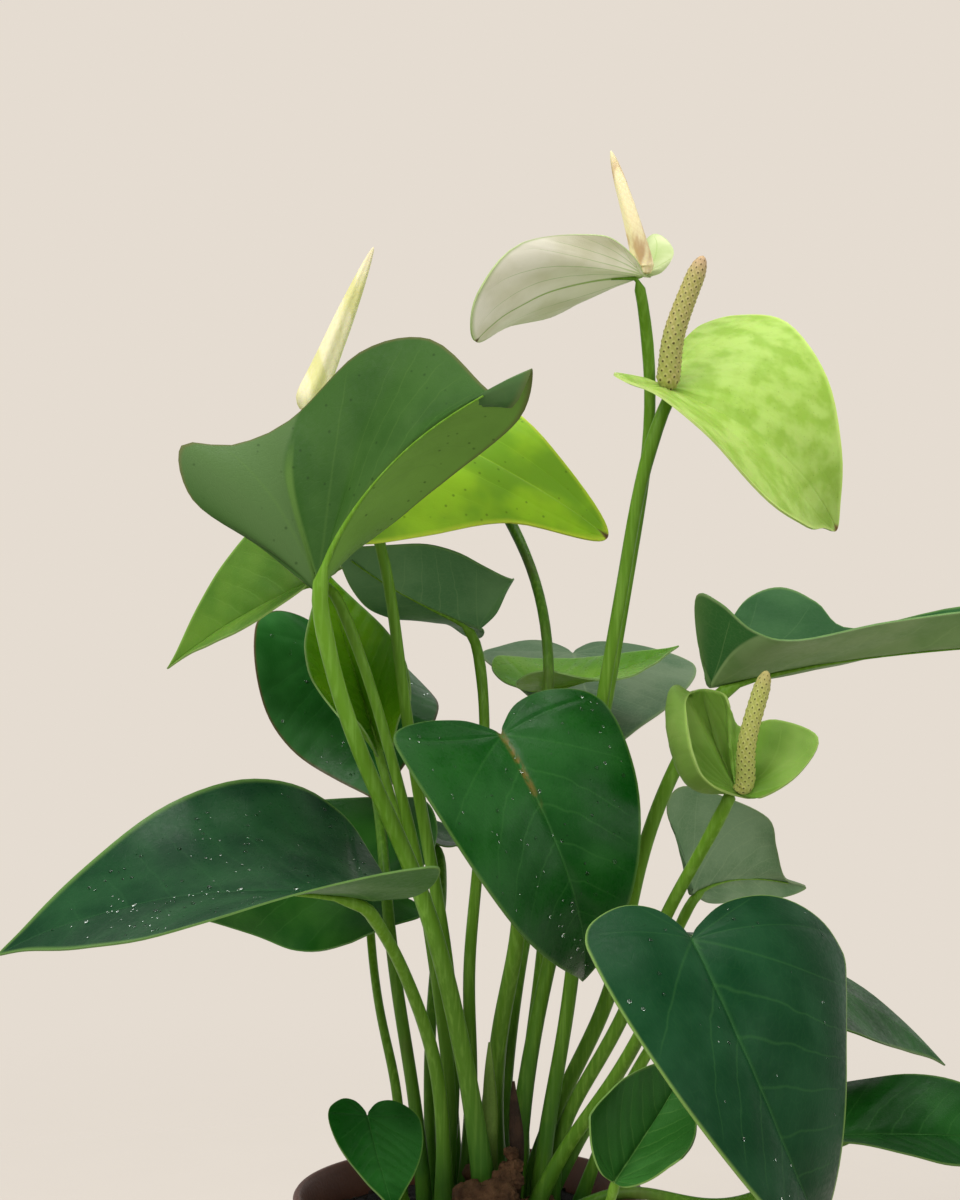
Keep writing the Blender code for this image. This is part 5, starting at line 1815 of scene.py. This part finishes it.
FLOWERS: tuple[Flower, ...] = (
    Flower("top",
           Shaped(at=(58, -4, 418), spokes=(
               ((0, 1.0), (25, -12, 412), (2, -22, 396)),
               ((0.15, 0.74), (35, 2, 411), (14, 6, 402)),
               ((0.30, 0.52), (42, 12, 412), (28, 20, 405)),
               ((0.42, 0.28), (49, 16, 416), (42, 30, 413)),
               ((0.47, 0.04), (56, 16, 422), (55, 34, 424)),
               ((0.42, -0.17), (61, 12, 426), (63, 24, 433)),
               ((0.27, -0.28), (64, 5, 423), (69, 12, 427)),
               ((0.12, -0.24), (62, -1, 420), (65, 2, 420)),
               ((0, -0.02), (58, -4, 418), (59, -4, 418)),
               ((-0.27, -0.28), (55, -8, 421), (54, -12, 424)),
               ((-0.47, 0.04), (49, -16, 425), (43, -24, 430)),
               ((-0.30, 0.52), (37, -24, 421), (17, -34, 427)),
               ((-0.15, 0.74), (30, -18, 417), (3, -32, 411)))),
           route=((15, -5), (16, -4, 136), (19, -3, 151), (22, -1, 167), (27, 2, 187),
                  (36, 6, 221), (48, 8, 279), (55, 9, 329), (58, 9, 343), (62, 9, 356),
                  (65, 9, 367), (65, 9, 377), (62, 4, 396)),
           widths=(8, 5.5, 3.6),
           spike=((54, -6, 436), (47, -4, 459)),
           spike_widths=(7.4, 3), facets=0.05, point=0.7,
           upper=WHITE_SPATHE, under=WHITE_SPATHE_UNDER, spadix=CREAM_STREAKED,
           spathe_slot="spathe_top", spike_slot="spike_cream", knobs=Knobs.FAINT),
    Flower("right",
           Shaped(at=(65, -10, 381), spokes=(
               ((0, 1.0), (101, -11, 361), (124, 7, 333)),
               ((0.045, 0.90), (97, -13, 362), (119, -1, 334)),
               ((0.15, 0.74), (91, -19, 362), (112, -15, 335)),
               ((0.30, 0.52), (81, -27, 367), (97, -36, 344)),
               ((0.42, 0.28), (72, -30, 373), (77, -50, 365)),
               ((0.47, 0.04), (63, -28, 379), (61, -48, 378)),
               ((0.42, -0.17), (57, -25, 381), (50, -42, 383)),
               ((0.27, -0.28), (57, -20, 383), (47, -32, 385)),
               ((0.12, -0.24), (60, -14, 383), (56, -18, 384)),
               ((0, -0.02), (65, -10, 381), (64, -10, 382)),
               ((-0.12, -0.24), (66, -3, 386), (68, 5, 390)),
               ((-0.27, -0.28), (69, 5, 390), (74, 21, 398)),
               ((-0.42, -0.17), (74, 13, 394), (82, 37, 403)),
               ((-0.47, 0.04), (79, 14, 395), (93, 39, 406)),
               ((-0.42, 0.28), (86, 8, 392), (109, 26, 403)),
               ((-0.30, 0.52), (92, 0, 385), (121, 12, 384)),
               ((-0.15, 0.74), (96, -7, 374), (125, 5, 360)),
               ((-0.045, 0.90), (99, -9, 367), (125, 6, 342)))),
           route=((23, -6), (25, -4, 136), (31, -3, 151), (35, -4, 171), (37, -5, 209),
                  (44, -7, 278), (54, -9, 324), (55, -10, 339), (55, -11, 353),
                  (56, -12, 367)),
           widths=(7, 5, 4.2),
           spike=((68, -14, 400), (77, -14, 424)),
           spike_widths=(8, 6),
           upper=LIME_SPATHE, under=LIME_SPATHE_UNDER, spadix=TAN_OLIVE,
           spathe_slot="spathe_right", spike_slot="spike_olive"),
    Flower("left",
           Shaped(at=(-53, 11, 374), spokes=(
               ((0, 1.0), (-3, 7, 361), (47, 14, 330)),
               ((0.15, 0.74), (-18, 0, 361), (14, -4, 336)),
               ((0.30, 0.52), (-31, -7, 358), (-15, -17, 332)),
               ((0.42, 0.28), (-44, -13, 357), (-39, -28, 330)),
               ((0.47, 0.04), (-57, -15, 360), (-60, -35, 338)),
               ((0.42, -0.17), (-61, -12, 363), (-69, -33, 349)),
               ((0.27, -0.28), (-61, -4, 368), (-69, -17, 359)),
               ((0, -0.02), (-53, 11, 374), (-54, 11, 374)),
               ((-0.27, -0.28), (-52, 22, 378), (-48, 32, 378)),
               ((-0.42, -0.17), (-48, 28, 380), (-41, 45, 381)),
               ((-0.47, 0.04), (-43, 31, 382), (-33, 53, 381)),
               ((-0.42, 0.28), (-33, 29, 382), (-16, 50, 381)),
               ((-0.30, 0.52), (-23, 23, 379), (6, 38, 379)),
               ((-0.15, 0.74), (-14, 14, 372), (28, 22, 361)))),
           route=((-9, 6), (-4, 5, 138), (-5, 6, 168), (-6, 7, 186), (-11, 9, 209),
                  (-18, 8, 246), (-23, 6, 282), (-26, 4, 310), (-27, 4, 330),
                  (-33, 4, 350)),
           widths=(6, 4.5, 3.8),
           spike=((-47, 10, 392), (-32, 8, 428)),
           spike_widths=(10, 4), facets=0.08, point=0.45,
           upper=GREEN_SPATHE, under=GREEN_SPATHE_UNDER, spadix=PALE_CREAM,
           spathe_slot="spathe_left", spike_slot="spike_cream", knobs=Knobs.SMOOTH),
    Flower("low",
           Shaped(at=(87, -37, 250), spokes=(
               ((0, 1.0), (82, -16, 263), (77, -12, 281)),
               ((0.15, 0.74), (86, -20, 263), (84, -16, 280)),
               ((0.30, 0.52), (86, -24, 262), (86, -20, 276)),
               ((0.42, 0.28), (88, -26, 258), (90, -18, 269)),
               ((0.47, 0.04), (94, -30, 260), (101, -24, 272)),
               ((0.42, -0.17), (101, -35, 258), (114, -31, 267)),
               ((0.27, -0.28), (97, -38, 253), (107, -38, 256)),
               ((0.12, -0.24), (91, -39, 249), (95, -41, 249)),
               ((0, -0.02), (87, -37, 250), (87, -38, 249)),
               ((-0.27, -0.28), (73, -46, 252), (76, -54, 256)),
               ((-0.47, 0.04), (67, -40, 261), (71, -56, 266)),
               ((-0.30, 0.52), (66, -30, 275), (70, -46, 276)),
               ((-0.15, 0.74), (71, -22, 279), (71, -32, 280)))),
           route=((28, 3), (28, 2, 125), (36, 0, 140), (43, -3, 152), (52, -7, 168),
                  (65, -18, 207), (73, -24, 222), (80, -30, 235)),
           widths=(7, 5, 4.2),
           spike=((90, -42, 268), (96, -42, 290)),
           spike_widths=(6.5, 5.5),
           upper=FRESH_SPATHE, under=FRESH_SPATHE_UNDER, spadix=OLIVE,
           spathe_slot="spathe_low", spike_slot="spike_olive"),
)

SHEATHS: tuple[Sheath, ...] = (
    Sheath("green", ((6, -9), (7, -11, 135), (7, -12, 162)), (6, 5.0, 2.0), SHEATH_GREEN,
           "sheath_green"),
    Sheath("dry", ((15, -12), (16, -13, 125), (15, -13, 149)), (3, 4.6, 2.0), DRIED,
           "sheath_dry"),
)


# --- Studio -----------------------------------------------------------------------


@dataclass
class SoftBox:
    """A soft square studio light."""

    name: str
    place: Point
    size: float
    power: float
    colour: Colour = (1.0, 1.0, 1.0)
    aim: Point = (0.03, 0.0, 0.26)

    def build(self) -> None:
        """Add the light, turned to its aim."""
        deselect_all()
        bpy.ops.object.light_add(type="AREA", location=self.place)
        lamp = bpy.context.object
        lamp.name = self.name
        lamp.data.shape = "SQUARE"
        lamp.data.size = self.size
        lamp.data.energy = self.power
        lamp.data.color = self.colour
        towards = Vector(self.aim) - Vector(self.place)
        lamp.rotation_euler = towards.to_track_quat("-Z", "Y").to_euler()


@dataclass
class Studio:
    """Plain pale floor and backdrop, soft lights and the camera."""

    backdrop: Colour = (0.784, 0.716, 0.638)
    floor_radius: float = 0.9
    ambient: float = 0.55
    camera_place: Point = (0.00375, -0.950, 0.3768)
    camera_pitch: float = -4.034
    lens: float = 85.08
    lights: tuple[SoftBox, ...] = (
        SoftBox("key", (-0.75, -0.95, 1.35), 1.0, 17.0),
        SoftBox("fill", (1.3, -0.9, 0.7), 1.2, 5.0),
        SoftBox("top", (0.15, 0.05, 1.5), 0.9, 10.0),
    )

    def build(self) -> None:
        """Build the whole studio."""
        bpy.context.scene.view_settings.view_transform = "Standard"
        self.build_world()
        self.build_floor()
        for light in self.lights:
            light.build()
        self.build_camera()

    def build_world(self) -> None:
        """Plain backdrop for the camera and a dimmer even light for the plant."""
        world = bpy.data.worlds.new("studio")
        bpy.context.scene.world = world
        world.use_nodes = True
        graph = Graph(world.node_tree)
        shader = world.node_tree.nodes["Background"]
        seen = graph.add("LightPath").outputs["Is Camera Ray"]
        graph.fill(shader, Color=graph.mix(seen, (1.0, 0.985, 0.96), self.backdrop),
                   Strength=graph.math("MULTIPLY_ADD", seen, 1 - self.ambient, self.ambient))

    def build_floor(self) -> None:
        """Pale floor that melts into the backdrop at its edge."""
        deselect_all()
        bpy.ops.mesh.primitive_circle_add(vertices=128, radius=self.floor_radius,
                                          fill_type="NGON", location=(0, 0, -0.0004))
        bpy.ops.object.transform_apply(location=True, rotation=True, scale=True)
        floor = new_piece("studio_floor")
        material, graph, shader = new_material("studio_floor")
        distance = graph.add("VectorMath", {"operation": "LENGTH"}, Vector=graph.place())
        fade = graph.spread(distance.outputs["Value"], 0.22, 0.8, 1.0, 0.0)
        grain = graph.cloud(graph.place(), 30.0)
        graph.fill(shader, Alpha=fade, Specular_IOR_Level=0.0, Emission_Strength=1.0,
                   Base_Color=graph.mix(grain, (0.40, 0.365, 0.325), (0.42, 0.383, 0.342)),
                   Emission_Color=graph.mix(grain, (0.30, 0.272, 0.243),
                                            (0.302, 0.276, 0.246)),
                   Roughness=graph.spread(grain, 0.3, 0.7, 0.85, 0.95))
        floor.data.materials.append(material)

    def build_camera(self) -> None:
        """Camera in front of the plant, looking slightly down."""
        deselect_all()
        bpy.ops.object.camera_add(location=self.camera_place,
                                  rotation=(math.radians(90 + self.camera_pitch), 0, 0))
        camera = bpy.context.object
        camera.name = "studio_camera"
        camera.data.sensor_width = 36.0
        camera.data.lens = self.lens
        bpy.context.scene.camera = camera


def main() -> None:
    """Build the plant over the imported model, then the studio round it."""
    logging.basicConfig(level=logging.INFO, format="%(message)s")
    pot = Pot()
    pot.build()
    Soil(pot).build()
    Crown().build()
    Rootstock().build()
    for leaf in LEAVES:
        leaf.build()
    for flower in FLOWERS:
        flower.build()
    for sheath in SHEATHS:
        sheath.build()
    Studio().build()


if __name__ == "__main__":
    main()
